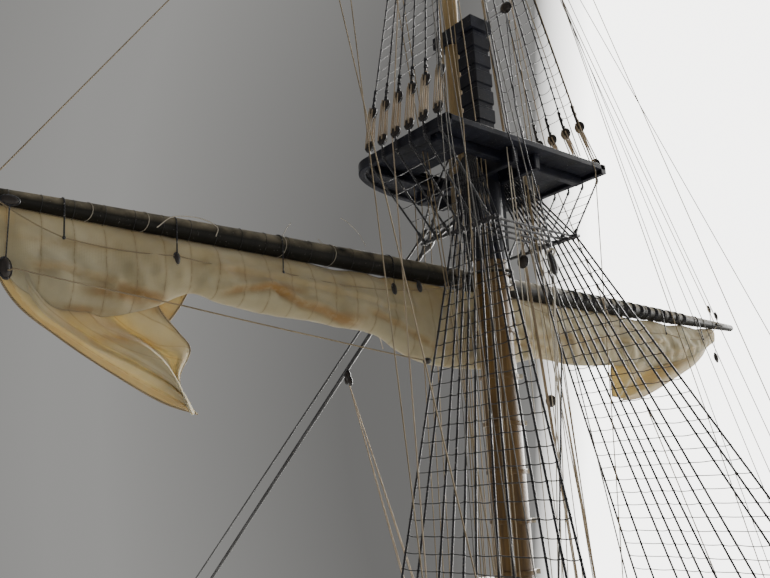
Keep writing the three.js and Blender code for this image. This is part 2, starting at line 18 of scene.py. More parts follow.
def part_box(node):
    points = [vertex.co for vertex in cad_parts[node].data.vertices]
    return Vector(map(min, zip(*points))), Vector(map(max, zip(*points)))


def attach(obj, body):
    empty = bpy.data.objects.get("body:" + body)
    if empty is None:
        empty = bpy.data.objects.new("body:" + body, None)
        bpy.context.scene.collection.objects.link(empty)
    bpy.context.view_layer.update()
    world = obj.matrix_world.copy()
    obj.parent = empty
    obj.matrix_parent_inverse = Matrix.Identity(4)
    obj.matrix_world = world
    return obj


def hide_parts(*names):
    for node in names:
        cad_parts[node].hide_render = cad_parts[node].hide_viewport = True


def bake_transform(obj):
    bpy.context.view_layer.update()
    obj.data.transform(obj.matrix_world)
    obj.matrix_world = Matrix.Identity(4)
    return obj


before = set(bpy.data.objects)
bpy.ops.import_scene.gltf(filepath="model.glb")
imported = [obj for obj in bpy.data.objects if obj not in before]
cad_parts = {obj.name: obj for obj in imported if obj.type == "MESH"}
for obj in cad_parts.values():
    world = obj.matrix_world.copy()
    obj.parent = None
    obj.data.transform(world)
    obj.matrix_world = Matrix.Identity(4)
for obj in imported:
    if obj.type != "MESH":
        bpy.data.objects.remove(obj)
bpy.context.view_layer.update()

MM = 0.001
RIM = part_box("top_platform")[1].z
print("the top's rim is", round(RIM, 4), "m above the heel;", len(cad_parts), "solids loaded")

# %% [markdown]
# ## Camera and light
#
# The picture was taken from the port side, abaft the mast and below the top, looking up. The
# camera's place and lens were fitted to the run of the yard, the top and the shrouds, because
# those are the longest straight edges. A large soft light stands to starboard, with a small one low
# beside it, so the mast stands half against the light: dark spars keep a bright edge and the sail
# glows through. A weak third light opens the shadows on the near side.

# %% Camera at the picture's viewing angle
CAMERA_PLACE = (-0.21876, 0.23052, 0.1685)
YAW, PITCH, ROLL = math.radians(-38.71), math.radians(14.22), math.radians(-2.62)
FOCAL_PIXELS, PICTURE_WIDTH, SENSOR, NEAREST_SEEN = 807.91, 770, 36, 0.005

ahead = Vector((math.cos(PITCH) * math.cos(YAW), math.cos(PITCH) * math.sin(YAW), math.sin(PITCH)))
level = Vector((math.sin(YAW), -math.cos(YAW), 0))
upward = level.cross(ahead)
across = math.cos(ROLL) * level + math.sin(ROLL) * upward
upright = math.cos(ROLL) * upward - math.sin(ROLL) * level
lens = bpy.data.cameras.new("camera")
lens.sensor_width = SENSOR
lens.lens = SENSOR * FOCAL_PIXELS / PICTURE_WIDTH
lens.clip_start = NEAREST_SEEN
camera = bpy.data.objects.new("camera", lens)
aimed = Matrix((across, upright, -ahead)).transposed().to_4x4()
camera.matrix_world = Matrix.Translation(CAMERA_PLACE) @ aimed
bpy.context.scene.collection.objects.link(camera)
bpy.context.scene.camera = camera
print("focal length", round(lens.lens, 2), "mm")

# %% Soft lights
BRIGHT_WAY, MAST_MIDDLE = Vector((0.42, -0.87, 0.27)).normalized(), Vector((0, 0, 0.3))
COOL, WARM = (1.0, 0.99, 0.96), (1.0, 0.94, 0.86)


def soft_light(name, place, target, size, watts, colour):
    """A square softbox at place, turned so that it faces target."""
    lamp = bpy.data.lights.new(name, "AREA")
    lamp.size, lamp.energy, lamp.color = size, watts, colour
    box = bpy.data.objects.new(name, lamp)
    box.location = place
    box.rotation_euler = (Vector(target) - Vector(place)).to_track_quat("-Z", "Y").to_euler()
    bpy.context.scene.collection.objects.link(box)
    print(name, "gives", watts, "W")


soft_light("bright_side_light", BRIGHT_WAY * 1.6 + MAST_MIDDLE, MAST_MIDDLE, 1.3, 34, COOL)
soft_light("low_side_light", (-0.28, -0.95, 0.42), (0, 0, 0.25), 0.6, 5.5, COOL)
soft_light("fill_light", (-1.3, 1.1, 0.9), MAST_MIDDLE, 1.8, 1.5, WARM)

# %% [markdown]
# ## Materials from expressions
#
# A node material is a formula. The small class below wraps one socket, so that a mask can be
# written as it would be on paper, such as `1 - wear * 0.5`, and each operator adds its Math node.

# %% A socket with operators
class Link:
    """One output socket of a material; + - * and / on it add Math nodes."""

    def __init__(self, tree, socket):
        self.tree, self.socket = tree, socket

    def node(self, kind, settings=None, output=0, **sockets):
        """Any other node: its settings are set first, then its sockets get values or links."""
        made = self.tree.nodes.new(kind)
        for key, value in (settings or {}).items():
            setattr(made, key, value)
        for key, value in sockets.items():
            name = key.replace("_", " ")
            plug(self.tree, made.inputs[int(name[1:]) if name[1:].isdigit() else name], value)
        return Link(self.tree, made.outputs[output])

    def maths(self, operation, first, second=0.0):
        return self.node("ShaderNodeMath", {"operation": operation}, i0=first, i1=second)

    def __add__(self, other):
        return self.maths("ADD", self, other)

    def __sub__(self, other):
        return self.maths("SUBTRACT", self, other)

    def __rsub__(self, other):
        return self.maths("SUBTRACT", other, self)

    def __mul__(self, other):
        return self.maths("MULTIPLY", self, other)

    def __truediv__(self, other):
        return self.maths("DIVIDE", self, other)

    __radd__, __rmul__ = __add__, __mul__

    def clipped(self, low, high):
        """0 below low, 1 above high, a straight ramp between."""
        return self.node("ShaderNodeMapRange", {}, i0=self, i1=low, i2=high)

    def mix(self, first, second):
        """first where this mask is 0 and second where it is 1, for colours."""
        return self.node("ShaderNodeMix", {"data_type": "RGBA"}, 2, i0=self, i6=first, i7=second)


def plug(tree, socket, value):
    """Give a socket a link, a colour or a number."""
    if isinstance(value, Link):
        tree.links.new(value.socket, socket)
    elif isinstance(value, (tuple, list)) and len(value) == 3 and socket.type == "RGBA":
        socket.default_value = (*value, 1)
    else:
        socket.default_value = value


class Finish:
    """A material being written: its coordinates, its shader, and the sockets that take formulas."""

    def __init__(self, name, **constants):
        self.material = bpy.data.materials.new(name)
        self.material.use_nodes = True
        self.tree = self.material.node_tree
        self.shader = self.tree.nodes["Principled BSDF"]
        for key, value in constants.items():
            plug(self.tree, self.shader.inputs[key.replace("_", " ")], value)
        self.source = Link(self.tree, None)

    def place(self, kind="Object", scale=(1, 1, 1)):
        """Object coordinates in metres, or the piece's own UV map, stretched by scale."""
        output = {"Object": 3, "UV": 2}[kind]
        spot = self.source.node("ShaderNodeTexCoord", {}, output)
        return self.source.node("ShaderNodeMapping", {}, i0=spot, i3=scale)

    def noise(self, spot, scale, detail=3.0, roughness=0.55):
        return self.source.node("ShaderNodeTexNoise", {}, 0, Vector=spot, Scale=scale, Detail=detail,
                                Roughness=roughness)

    def split(self, spot):
        return [self.source.node("ShaderNodeSeparateXYZ", {}, i, i0=spot) for i in range(3)]

    def bump(self, height, distance, strength=1.0):
        normal = self.source.node("ShaderNodeBump", {}, Height=height, Distance=distance, Strength=strength)
        return self.put(Normal=normal)

    def put(self, **sockets):
        for key, value in sockets.items():
            plug(self.tree, self.shader.inputs[key.replace("_", " ")], value)
        return self


# %% [markdown]
# ## A world that is brighter on one side
#
# The world is a ball of light round the scene, and its brightness is a formula of the direction.
# The dot product with a way says how far a direction agrees with it, so a bright part with soft
# edges is two ramps multiplied. It lies on the same side as the large lamp, and its upright edge
# leans as the camera does.

# %% World with its bright part to starboard
GLOW_WAY = (0.3, -0.95, 0.1)
GLOW_EDGE = across - 0.222 * ahead  # square to the edge of the glow, as the camera sees it
DIM, HALF_LIGHT, NEAR_GLOW, GLOW = 0.165, 0.165, 0.12, 5.0  # how bright each part of the world is

world = bpy.data.worlds.new("studio")
world.use_nodes = True
sky = Link(world.node_tree, None)
looking = sky.node("ShaderNodeTexCoord", {}, 0)


def agreeing(way):
    """The dot product of the direction looked in with a way."""
    return sky.node("ShaderNodeVectorMath", {"operation": "DOT_PRODUCT"}, 1, i0=looking, i1=tuple(way))


towards, past_edge = agreeing(GLOW_WAY), agreeing(GLOW_EDGE)
glow = past_edge.clipped(-0.035, 0.03) * towards.clipped(0.76, 0.82)
half_light = towards.clipped(0.2, 0.55) * (1 - towards.clipped(0.6, 0.8))
near_glow = past_edge.clipped(-0.13, 0.0) * towards.clipped(0.7, 0.8)
brightness = DIM + half_light * HALF_LIGHT + near_glow * NEAR_GLOW + glow * GLOW
background = world.node_tree.nodes["Background"].inputs
plug(world.node_tree, background["Color"], (0.97, 0.96, 0.93))
plug(world.node_tree, background["Strength"], brightness)
bpy.context.scene.world = world
print("the world is brightest towards", GLOW_WAY)

# %% [markdown]
# ## Wood and paint
#
# The lower mast is varnished ochre wood, made of planks under raised hoops. The topmasts are paler, and the
# yards nearly black with a paler top that is dust and painted light from above. The top and masthead are
# black paint with a painted blue sheen in cloudy patches, and thin places on its brush marks. Grain is noise
# that is squeezed across the spar and stretched along it.

# %% Wood finishes
def wood(name, dark, light, along, grain, rough, coat):
    """Grain: noise squeezed across the spar, over broad stains; along is the spar's own axis."""
    finish = Finish(name, Coat_Roughness=0.25)
    stretched = lambda by: finish.place("Object", tuple(by if axis == along else 1.0 for axis in "XYZ"))
    spot = stretched(0.06)
    streaks = finish.noise(spot, grain, 5.0, 0.6)
    broad = finish.noise(stretched(0.3), 90.0, 3.0)
    pores = finish.noise(spot, grain * 4, 2.0)
    shade = (streaks * 0.6 + broad * 0.5).clipped(0.32, 0.78)
    flecks = finish.noise(finish.place(), 1100.0, 2.0).clipped(0.7, 0.74)
    finish.put(Base_Color=(flecks * 0.6).mix(shade.mix(dark, light), dark),
               Roughness=rough + (1 - streaks) * 0.15, Coat_Weight=coat * broad.clipped(0.3, 0.6))
    return finish.bump(streaks * 0.6 + pores * 0.4, 0.00012, 0.5)


mast_wood = wood("varnished_mast_wood", (0.035, 0.018, 0.006), (0.27, 0.15, 0.036), "Z", 700, 0.36, 0.5)
# The clasps' pale colour is a painted highlight on the hoops.
clasp_painted_highlight_wood = wood("pale_clasp_painted_highlight", (0.6, 0.53, 0.41), (0.85, 0.79, 0.66), "Z", 1200, 0.5, 0.1)
pale_wood = wood("pale_topmast_wood", (0.26, 0.165, 0.065), (0.56, 0.41, 0.2), "Z", 900, 0.42, 0.3)
deck_wood = wood("oiled_deck_wood", (0.2, 0.115, 0.045), (0.42, 0.28, 0.13), "X", 800, 0.55, 0.1)
block_wood = wood("dark_block_wood", (0.008, 0.006, 0.006), (0.04, 0.03, 0.026), "Z", 1500, 0.38, 0.25)
woods = (mast_wood, clasp_painted_highlight_wood, pale_wood, deck_wood, block_wood)
print("wood finishes:", [finish.material.name for finish in woods])


# %% Paint on the top, and the dusty yards
def paint(name, base, painted_sheen, dust_and_lit_top_colour, dust_and_lit_top_amount, brush_scale=1300.0, dust_and_lit_top_from=0.1, coat=0.22):
    """Brushed dark paint: fine brush marks, a painted sheen in cloudy patches, and a paler colour on faces
    that look upwards, which is dust and painted light from above.
    """
    finish = Finish(name, Coat_Roughness=0.3, Specular_IOR_Level=0.3)
    spot = finish.place()
    cloud = finish.noise(spot, 140.0, 4.0)
    brush = finish.noise(finish.place("Object", (1, 0.12, 1)), brush_scale, 4.0)
    chips = finish.noise(spot, 900.0, 2.0).clipped(0.68, 0.73)
    specks = finish.noise(spot, 1900.0, 1.0).clipped(0.73, 0.77)
    normal = finish.source.node("ShaderNodeNewGeometry", {}, 1)
    upward_share = finish.split(normal)[2]
    # Faces that look upwards get a paler colour: dust, and painted light from above.
    dust_and_painted_light = upward_share.clipped(dust_and_lit_top_from, dust_and_lit_top_from + 0.7) * cloud.clipped(0.25, 0.6) * dust_and_lit_top_amount
    underside = 1 - upward_share.clipped(-0.7, -0.2)
    # The painted sheen: a bluer colour in cloudy patches, in place of a reflection.
    colour = dust_and_painted_light.mix(cloud.clipped(0.3, 0.75).mix(base, painted_sheen), dust_and_lit_top_colour)
    marked = (specks * 0.5).mix((chips * 0.5).mix(colour, (0.06, 0.045, 0.04)), (0.4, 0.38, 0.34))
    finish.put(Base_Color=marked, Roughness=0.3 + brush * 0.25 + dust_and_painted_light * 0.4 + underside * 0.35,
               Coat_Weight=coat * (1 - dust_and_painted_light) * (1 - underside))
    return finish.bump(brush * 0.6 + cloud * 0.4, 0.0001, 0.6)


black_paint = paint("blue_black_paint", (0.004, 0.0045, 0.008), (0.013, 0.015, 0.03), (0.1, 0.095, 0.09), 0.3)
# On the yards the paler top reaches down to the middle of the spar: dust, and painted light from above.
dark_spar = paint("dark_spar_dust_and_painted_lit_top", (0.005, 0.0045, 0.003), (0.014, 0.012, 0.008), (0.3, 0.26, 0.18), 1.0,
                  brush_scale=700.0, dust_and_lit_top_from=-0.15, coat=0.12)
print("paints:", black_paint.material.name, "and", dark_spar.material.name)

# %% [markdown]
# ## Thread
#
# Every rope is thread: black and waxed for the standing rigging, tan for what runs. The pieces
# below give each rope a UV map with its length in millimetres one way and once round the other
# way, so the twist of three strands is a slanted sine wave, and it follows every bend.

# %% Rope finishes
def thread(name, dark, light, pitch, rough, coat, specks, depth):
    """Three strands: sin(3 turns round + length / pitch) shades the valleys and lifts the strands; pale
    specks are dust and painted glints.
    """
    finish = Finish(name, Coat_Roughness=0.2, Sheen_Weight=0.15)
    run, around, _ = finish.split(finish.place("UV"))
    spot = finish.place()
    wave = finish.source.maths("SINE", (around * 3 + run / pitch) * (2 * math.pi))
    strand = wave * 0.5 + 0.5
    fuzz = finish.noise(spot, 2600.0, 3.0)
    patch = finish.noise(spot, 60.0, 2.0).clipped(0.35, 0.65)
    # Pale specks: dust, and painted glints of light on the waxed strands.
    dust_and_painted_light = finish.noise(spot, 1500.0, 1.0).clipped(0.68, 0.76) * specks
    colour = (strand * 0.65 + patch * 0.35).mix(dark, light)
    finish.put(Base_Color=dust_and_painted_light.mix(colour, (0.62, 0.6, 0.56)), Roughness=rough + fuzz * 0.2 + dust_and_painted_light * 0.3,
               Coat_Weight=coat * patch * (1 - dust_and_painted_light))
    return finish.bump(strand * 0.75 + fuzz * 0.25, depth, 0.8)


tarred_rope = thread("tarred_rope_thread", (0.004, 0.004, 0.006), (0.015, 0.015, 0.026), 1.1, 0.24, 0.7, 0.8,
                     0.00014)
tan_rope = thread("tan_rope_thread", (0.17, 0.12, 0.065), (0.5, 0.4, 0.25), 0.8, 0.62, 0.0, 0.2, 0.0001)
lanyard_rope = thread("lanyard_thread", (0.3, 0.22, 0.14), (0.72, 0.6, 0.44), 0.7, 0.6, 0.0, 0.3, 0.0001)
grey_rope = thread("weathered_thread", (0.08, 0.075, 0.068), (0.25, 0.235, 0.215), 0.7, 0.6, 0.0, 0.3, 0.0001)
pale_rope = thread("pale_rope_thread", (0.5, 0.43, 0.32), (0.86, 0.8, 0.68), 0.8, 0.6, 0.0, 0.1, 0.0001)
ratline_thread = thread("ratline_thread", (0.003, 0.003, 0.005), (0.012, 0.012, 0.016), 0.6, 0.4, 0.2, 0.3,
                        0.00006)
threads = (tarred_rope, tan_rope, lanyard_rope, grey_rope, pale_rope, ratline_thread)
print("thread finishes:", [finish.material.name for finish in threads])

# %% [markdown]
# ## Sailcloth
#
# The course is thin cotton that lets light through, sewn from narrow cloths. Its UV map is in millimetres, so
# a seam every 9 mm is a formula and the weave keeps its scale in every fold. The old stains lie along the
# creases, together with painted shade in the creases and hollows, and the hem is double cloth whose darker
# colour is partly painted shade: both are values stored on the mesh when the creases are made, and the
# material only reads them.

# %% Cotton
CLOTH_WIDTH, WEAVE = 9.0, 0.45  # from seam to seam, and from one thread of the weave to the next


def cotton():
    """Warp and weft are sines, a seam lies at every cloth's edge, and stains with painted crease shade, and
    the hem with its partly painted shade, are read from the mesh's own values."""
    finish = Finish("stained_sail_cotton", Subsurface_Weight=0.4, Subsurface_Radius=(0.005, 0.0035, 0.002),
                    Subsurface_Scale=0.5, Sheen_Weight=0.15)
    breadth, depth, _ = finish.split(finish.place("UV"))
    spot = finish.place()
    value = lambda name: finish.source.node("ShaderNodeAttribute", {"attribute_name": name}, 2)
    drift = finish.noise(spot, 90.0, 2.0) * 0.5
    cell = finish.source.maths("FRACT", (breadth + drift) / CLOTH_WIDTH)
    from_seam = finish.source.maths("ABSOLUTE", cell - 0.5)
    stitches = finish.noise(finish.place("Object", (1, 1, 2)), 420.0, 1.0).clipped(0.25, 0.6)
    seam = from_seam.clipped(0.472, 0.488)
    lap = from_seam.clipped(0.42, 0.44) * 0.12
    cloud = finish.noise(spot, 35.0, 3.0).clipped(0.3, 0.7)
    water = finish.noise(finish.place("Object", (0.6, 0.3, 1.4)), 55.0, 4.0, 0.6).clipped(0.52, 0.8)
    grime = finish.noise(spot, 260.0, 4.0).clipped(0.45, 0.8)
    clean = cloud.mix((0.45, 0.365, 0.215), (0.62, 0.53, 0.35))
    # Stains together with painted shade along the creases and in the corner's hollows, read from the mesh.
    ragged = value("stain") * finish.noise(spot, 130.0, 4.0, 0.65).clipped(0.2, 0.5)
    stain_and_shade_colour = (ragged * 0.95).mix((water * 0.4).mix(clean, (0.45, 0.3, 0.14)), (0.36, 0.19, 0.055))
    # The hem is double cloth, and its darker colour is partly painted shade.
    hemmed_and_shaded = (value("hem") * 0.5).mix(stain_and_shade_colour, (0.25, 0.18, 0.1))
    sewn = (seam * stitches * 0.5 + lap).mix(hemmed_and_shaded, (0.3, 0.2, 0.1))
    warp, weft = (finish.source.maths("SINE", way * (2 * math.pi / WEAVE)) for way in (breadth, depth))
    finish.put(Base_Color=(grime * 0.2).mix(sewn, (0.34, 0.28, 0.18)), Roughness=0.85 + grime * 0.1)
    return finish.bump(warp * 0.2 + weft * 0.2 + seam * 0.6 + lap + grime * 0.3, 0.00008, 0.7)


sail_cotton = cotton()
print("cloths are sewn every", CLOTH_WIDTH, "mm")

# %% [markdown]
# ## Shapes from whole arrays
#
# All new pieces come from four surfaces: a rope is a circle carried along a path, a turned piece
# is a profile carried round an axis, a bevelled block is a box whose corners are cut, and a cloth
# is a net of curves. A `Shape` gathers them, and turns millimetres into metres once, at the end.

# %% Gathering faces into one piece
class Shape:
    """Corners and faces for one piece. places holds, for each corner of a face, its spot on the UV map."""

    def __init__(self):
        self.points, self.faces, self.places, self.count = [], [], [], 0

    def add(self, points, faces, places=None):
        points, faces = np.reshape(points, (-1, 3)), np.asarray(faces)
        self.points.append(points)
        self.faces.append(faces + self.count)
        self.places.append(np.zeros((*faces.shape, 2)) if places is None else places)
        self.count += len(points)
        return self

    def take(self, *parts):
        for part in parts:
            self.add(*part)
        return self

    def piece(self, name, body, finish, slot, replaces=(), smooth=40):
        """Make the Blender object: faces of any size, smooth below the given angle in degrees."""
        mesh = bpy.data.meshes.new(name)
        sizes = np.concatenate([np.full(len(f), f.shape[1]) for f in self.faces])
        corners = np.concatenate([f.ravel() for f in self.faces])
        places = np.concatenate([p.reshape(-1, 2) for p in self.places])
        mesh.vertices.add(self.count)
        mesh.vertices.foreach_set("co", (np.concatenate(self.points) * MM + (0, 0, RIM)).ravel())
        mesh.loops.add(len(corners))
        mesh.loops.foreach_set("vertex_index", corners.astype(np.int32))
        mesh.polygons.add(len(sizes))
        mesh.polygons.foreach_set("loop_start", (np.cumsum(sizes) - sizes).astype(np.int32))
        mesh.update(calc_edges=True)
        mesh.uv_layers.new(name="run").uv.foreach_set("vector", places.astype(np.float32).ravel())
        mesh.shade_smooth()
        mesh.set_sharp_from_angle(angle=math.radians(smooth))
        mesh.materials.append(finish.material)
        made = bpy.data.objects.new(name, mesh)
        bpy.context.scene.collection.objects.link(made)
        if body:
            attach(made, body)
        if replaces:
            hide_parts(*replaces)
        print(name, "has", len(sizes), "faces")
        return made


def grid(rows, columns, close_rows=False, close_columns=False):
    """Four-cornered faces between rows x columns of points; a closed way joins its end to its start."""
    r = np.arange(rows if close_rows else rows - 1)[:, None]
    c = np.arange(columns if close_columns else columns - 1)[None, :]
    step = lambda i, j: (i % rows) * columns + j % columns
    return np.stack(np.broadcast_arrays(step(r, c), step(r, c + 1), step(r + 1, c + 1), step(r + 1, c)),
                    -1).reshape(-1, 4)


def copies(part, middles, turns=None):
    """One part at many places: each copy's points are the part's, turned and then moved."""
    points, faces, places = part
    middles = np.reshape(middles, (-1, 3))
    turned_points = points[None] if turns is None else np.einsum("kij,pj->kpi", turns, points)
    shifts = (np.arange(len(middles)) * len(points))[:, None, None]
    return (turned_points + middles[:, None], (faces[None] + shifts).reshape(-1, faces.shape[1]),
            np.tile(places, (len(middles), 1, 1)))


# %% A rope along a path
def rope(path, radius, sides=6, closed=False, beside=None):
    """At each point of the path stands a ring, radius * (cos a * side + sin a * up), square to the
    way the rope runs. path is (points, 3), or (ropes, points, 3) for many ropes alike."""
    path = np.asarray(path, float)
    path = path[None] if path.ndim == 2 else path
    ropes, count = path.shape[:2]
    way = np.roll(path, -1, 1) - np.roll(path, 1, 1) if closed else np.gradient(path, axis=1)
    way /= np.linalg.norm(way, axis=-1, keepdims=True)
    if beside is None:
        steep = np.abs(way[..., 2]).mean(1) > 0.75
        beside = np.where(steep[:, None], (1.0, 0, 0), (0, 0, 1.0))
    side = np.cross(np.broadcast_to(beside, (ropes, 3))[:, None], way)
    side /= np.linalg.norm(side, axis=-1, keepdims=True)
    up = np.cross(way, side)
    turn = 2 * np.pi * np.arange(sides) / sides
    reach = np.broadcast_to(radius, (ropes, count))[..., None, None]
    ring = np.cos(turn)[:, None] * side[:, :, None] + np.sin(turn)[:, None] * up[:, :, None]
    points = (path[:, :, None] + reach * ring).reshape(-1, 3)
    one = grid(count, sides, close_rows=closed, close_columns=True)
    step = np.linalg.norm(np.diff(path, axis=1, append=path[:, :1]), axis=-1)
    run = np.concatenate([np.zeros((ropes, 1)), np.cumsum(step, 1)], 1)
    row, column = np.divmod(np.arange(len(one)), sides)
    first, last = run[:, row], run[:, row + 1]
    near, far = (np.broadcast_to((column + i) / sides, first.shape) for i in (0, 1))
    places = np.stack([np.stack([first, near], -1), np.stack([first, far], -1),
                       np.stack([last, far], -1), np.stack([last, near], -1)], -2).reshape(-1, 4, 2)
    starts = (np.arange(ropes) * count * sides)[:, None, None]
    parts = [(points, (one[None] + starts).reshape(-1, 4), places)]
    if not closed:
        last_ring = (count - 1) * sides
        ends = np.stack([np.arange(sides)[::-1], last_ring + np.arange(sides)])
        parts.append((points[:0], (ends[None] + starts).reshape(-1, sides) - len(points),
                      np.zeros((2 * ropes, sides, 2))))
    return parts


def straight(start, end, steps=2, sag=0.0):
    """Points from start to end, hanging lower by sag * 4 t (1 - t) in the middle."""
    t = np.linspace(0, 1, steps)[:, None]
    path = np.asarray(start, float) * (1 - t) + np.asarray(end, float) * t
    path[:, 2:] -= sag * 4 * t * (1 - t)
    return path


def strung(starts, ends, steps=60):
    """Many straight ropes at once, each start * (1 - t) + end * t."""
    t = np.linspace(0, 1, steps)[None, :, None]
    return starts[:, None] * (1 - t) + ends[:, None] * t


def loop(middle, radius, turn=None, steps=14):
    """A circle of points round middle, in the plane of the first two axes of turn."""
    angle = 2 * np.pi * np.arange(steps) / steps
    flat = np.stack([np.cos(angle), np.sin(angle), 0 * angle], -1) * radius
    return np.asarray(middle) + (flat if turn is None else flat @ np.asarray(turn).T)


# %% Turned pieces, balls and blocks
def turned(rows, sides=32, middle=(0, 0, 0), along="z"):
    """Rings of radius r at height h for each row (h, r), closed by a flat cap at both ends."""
    rows = np.asarray(rows, float)
    turn = 2 * np.pi * np.arange(sides) / sides
    points = np.stack([rows[:, 1:] * np.cos(turn), rows[:, 1:] * np.sin(turn),
                       np.broadcast_to(rows[:, :1], (len(rows), sides))], -1).reshape(-1, 3)
    if along == "y":
        points = points[:, [1, 2, 0]]
    faces = grid(len(rows), sides, close_columns=True)
    row, column = np.divmod(np.arange(len(faces)), sides)
    places = np.stack([np.stack([rows[row + i, 0], (column + j) / sides], -1)
                       for i, j in ((0, 0), (0, 1), (1, 1), (1, 0))], 1)
    last = (len(rows) - 1) * sides
    ends = np.stack([np.arange(sides)[::-1], last + np.arange(sides)])
    points = points + middle
    return [(points, faces, places), (points[:0], ends - len(points), np.zeros((2, sides, 2)))]


def bead(half_sizes, rings=5, sides=8):
    """A closed ball stretched to three half sizes: rings of latitude, drawn in to tiny caps."""
    rise = np.linspace(-0.47 * np.pi, 0.47 * np.pi, rings)
    (points, faces, places), (_, ends, _) = turned(np.stack([np.sin(rise), np.cos(rise)], -1), sides)
    caps = ends + len(points)
    split = np.concatenate([caps[:, [0, i, i + 1, i + 2]] for i in range(1, sides - 2, 2)])
    return (points * half_sizes, np.concatenate([faces, split]),
            np.concatenate([places, np.zeros((len(split), 4, 2))]))


def blocks(boxes, bevel):
    """Boxes (x0, x1, y0, y1, z0, z1): each corner becomes three points, each of them at full reach
    along one axis and pulled in by the bevel along the other two."""
    boxes = np.reshape(boxes, (-1, 3, 2)).astype(float)
    middle, half = boxes.mean(-1), np.abs(np.diff(boxes, axis=-1))[..., 0] / 2
    sign = np.array([(x, y, z) for x in (-1, 1) for y in (-1, 1) for z in (-1, 1)])
    points = middle[:, None, None] + sign[:, None] * (half[:, None, None] - bevel * (1 - np.eye(3)))
    corner_of = {tuple(s): 3 * i for i, s in enumerate(sign)}  # a corner's first point; its others follow
    quads = []
    for axis in range(3):
        b, c = (axis + 1) % 3, (axis + 2) % 3

        def corner(*reach):
            spot = [0, 0, 0]
            spot[axis], spot[b], spot[c] = reach
            return corner_of[tuple(spot)]

        for way in (-1, 1):
            ring = [(-1, -1), (1, -1), (1, 1), (-1, 1)][::way]
            quads.append([corner(way, u, v) + axis for u, v in ring])
        for u, v in ((-1, -1), (-1, 1), (1, -1), (1, 1)):
            low, high = corner(-1, u, v), corner(1, u, v)
            quads.append([low + b, high + b, high + c, low + c][::u * v])
    tips = [[3 * i, 3 * i + 1, 3 * i + 2][::int(np.prod(s))] for i, s in enumerate(sign)]
    flat = points.reshape(-1, 3)
    shift = (np.arange(len(boxes)) * 24)[:, None, None]
    return [(flat, (np.array(quads)[None] + shift).reshape(-1, 4), None),
            (flat[:0], (np.array(tips)[None] + shift).reshape(-1, 3) - len(flat), None)]


# %% [markdown]
# ## The spars
#
# The lower mast of a big ship was made of many planks, held by hoops every metre and a half, so
# the model shows a raised hoop every 18 mm. The topmasts are single sticks. Each is a profile
# turned round its axis, with the hoops' edges rounded so that they catch the light.

# %% Lower mast
BLACK_FROM, MAST_FOOT, AT_HEEL, HOUNDS = -43.0, -RIM / MM, 7.7, 6.75
HOOP_PITCH, FIRST_HOOP, HOOPS, HOOP_HALF, HOOP_PROUD = 18.0, -53.5, 14, 0.85, 0.8
HOOP_PROFILE = np.array([(-1, 0), (-1, 0.7), (-0.75, 1), (0.75, 1), (1, 0.7), (1, 0)])


def mast_radius(z):
    """The mast tapers evenly from its heel to the hounds."""
    return AT_HEEL + (HOUNDS - AT_HEEL) * (z - MAST_FOOT) / (BLACK_FROM - MAST_FOOT)


hoop_heights = FIRST_HOOP - HOOP_PITCH * np.arange(HOOPS)[::-1]
hoop_rows = np.stack([
    hoop_heights[:, None] + HOOP_HALF * HOOP_PROFILE[:, 0],
    mast_radius(hoop_heights)[:, None] + HOOP_PROUD * HOOP_PROFILE[:, 1]], -1).reshape(-1, 2)
mast_rows = np.concatenate([[(MAST_FOOT, AT_HEEL)], hoop_rows, [(BLACK_FROM, HOUNDS)]])
Shape().take(*turned(mast_rows, 48)).piece(
    "made_lower_mast", "mast", mast_wood, "varnished_mast", ["lower_mast"], 30)

# %% Topmast, topgallant mast and truck
TOPMAST_X, TOPGALLANT_X, TOPMAST_HOUNDS, TRUCK = 12.64, 17.4, 228.0, 440.0
TOPMAST_ROWS = [(7, 3.4), (80, 3.4), (226, 2.95), (227, 3.25), (TOPMAST_HOUNDS + 0.6, 3.25)]
TOPGALLANT_ROWS = [
    (227, 1.8), (270, 1.8), (348, 1.5), (349.5, 1.9), (350.5, 1.9), (351.5, 1.15), (TRUCK, 0.75)]
TRUCK_ROWS = [(TRUCK + rise, radius) for rise, radius in (
    (0.3, 1.3), (0.6, 1.9), (0.9, 2.1), (1.3, 1.9), (1.8, 1.2), (2.1, 0.5))]
TOPMAST_BLOCKS = (  # half width forwards and to the side, foot, top and bevel: the heel, the head and the fid
    (3.3, 3.3, -9.4, 8, 0.5), (2.1, 2.1, 226, 266, 0.35), (1.2, 8.2, -2.4, -0.6, 0.2))

topmast = Shape().take(*turned(TOPMAST_ROWS, 32, (TOPMAST_X, 0, 0)))
for half_x, half_y, foot, top, bevel in TOPMAST_BLOCKS:
    topmast.take(*blocks([(TOPMAST_X - half_x, TOPMAST_X + half_x, -half_y, half_y, foot, top)], bevel))
topmast.piece("turned_topmast", "mast", pale_wood, "pale_wood", ["topmast"])
Shape().take(*turned(TOPGALLANT_ROWS, 24, (TOPGALLANT_X, 0, 0))).piece(
    "turned_topgallant_mast", "mast", pale_wood, "pale_wood", ["topgallant_mast"])
Shape().take(*turned(TRUCK_ROWS, 20, (TOPGALLANT_X, 0, 0))).piece(
    "turned_truck", "mast", black_paint, "black_paint", ["mast_truck"])

# %% [markdown]
# ## Masthead, top and cap
#
# The masthead is square, with flat bands round it, and carries the cap. Under it the trestletrees
# run fore and aft, the crosstrees across them, and the top is a floor of planks with a deeper rim.
# The planks are separate boxes cut to the outline, so the gaps between them are real.

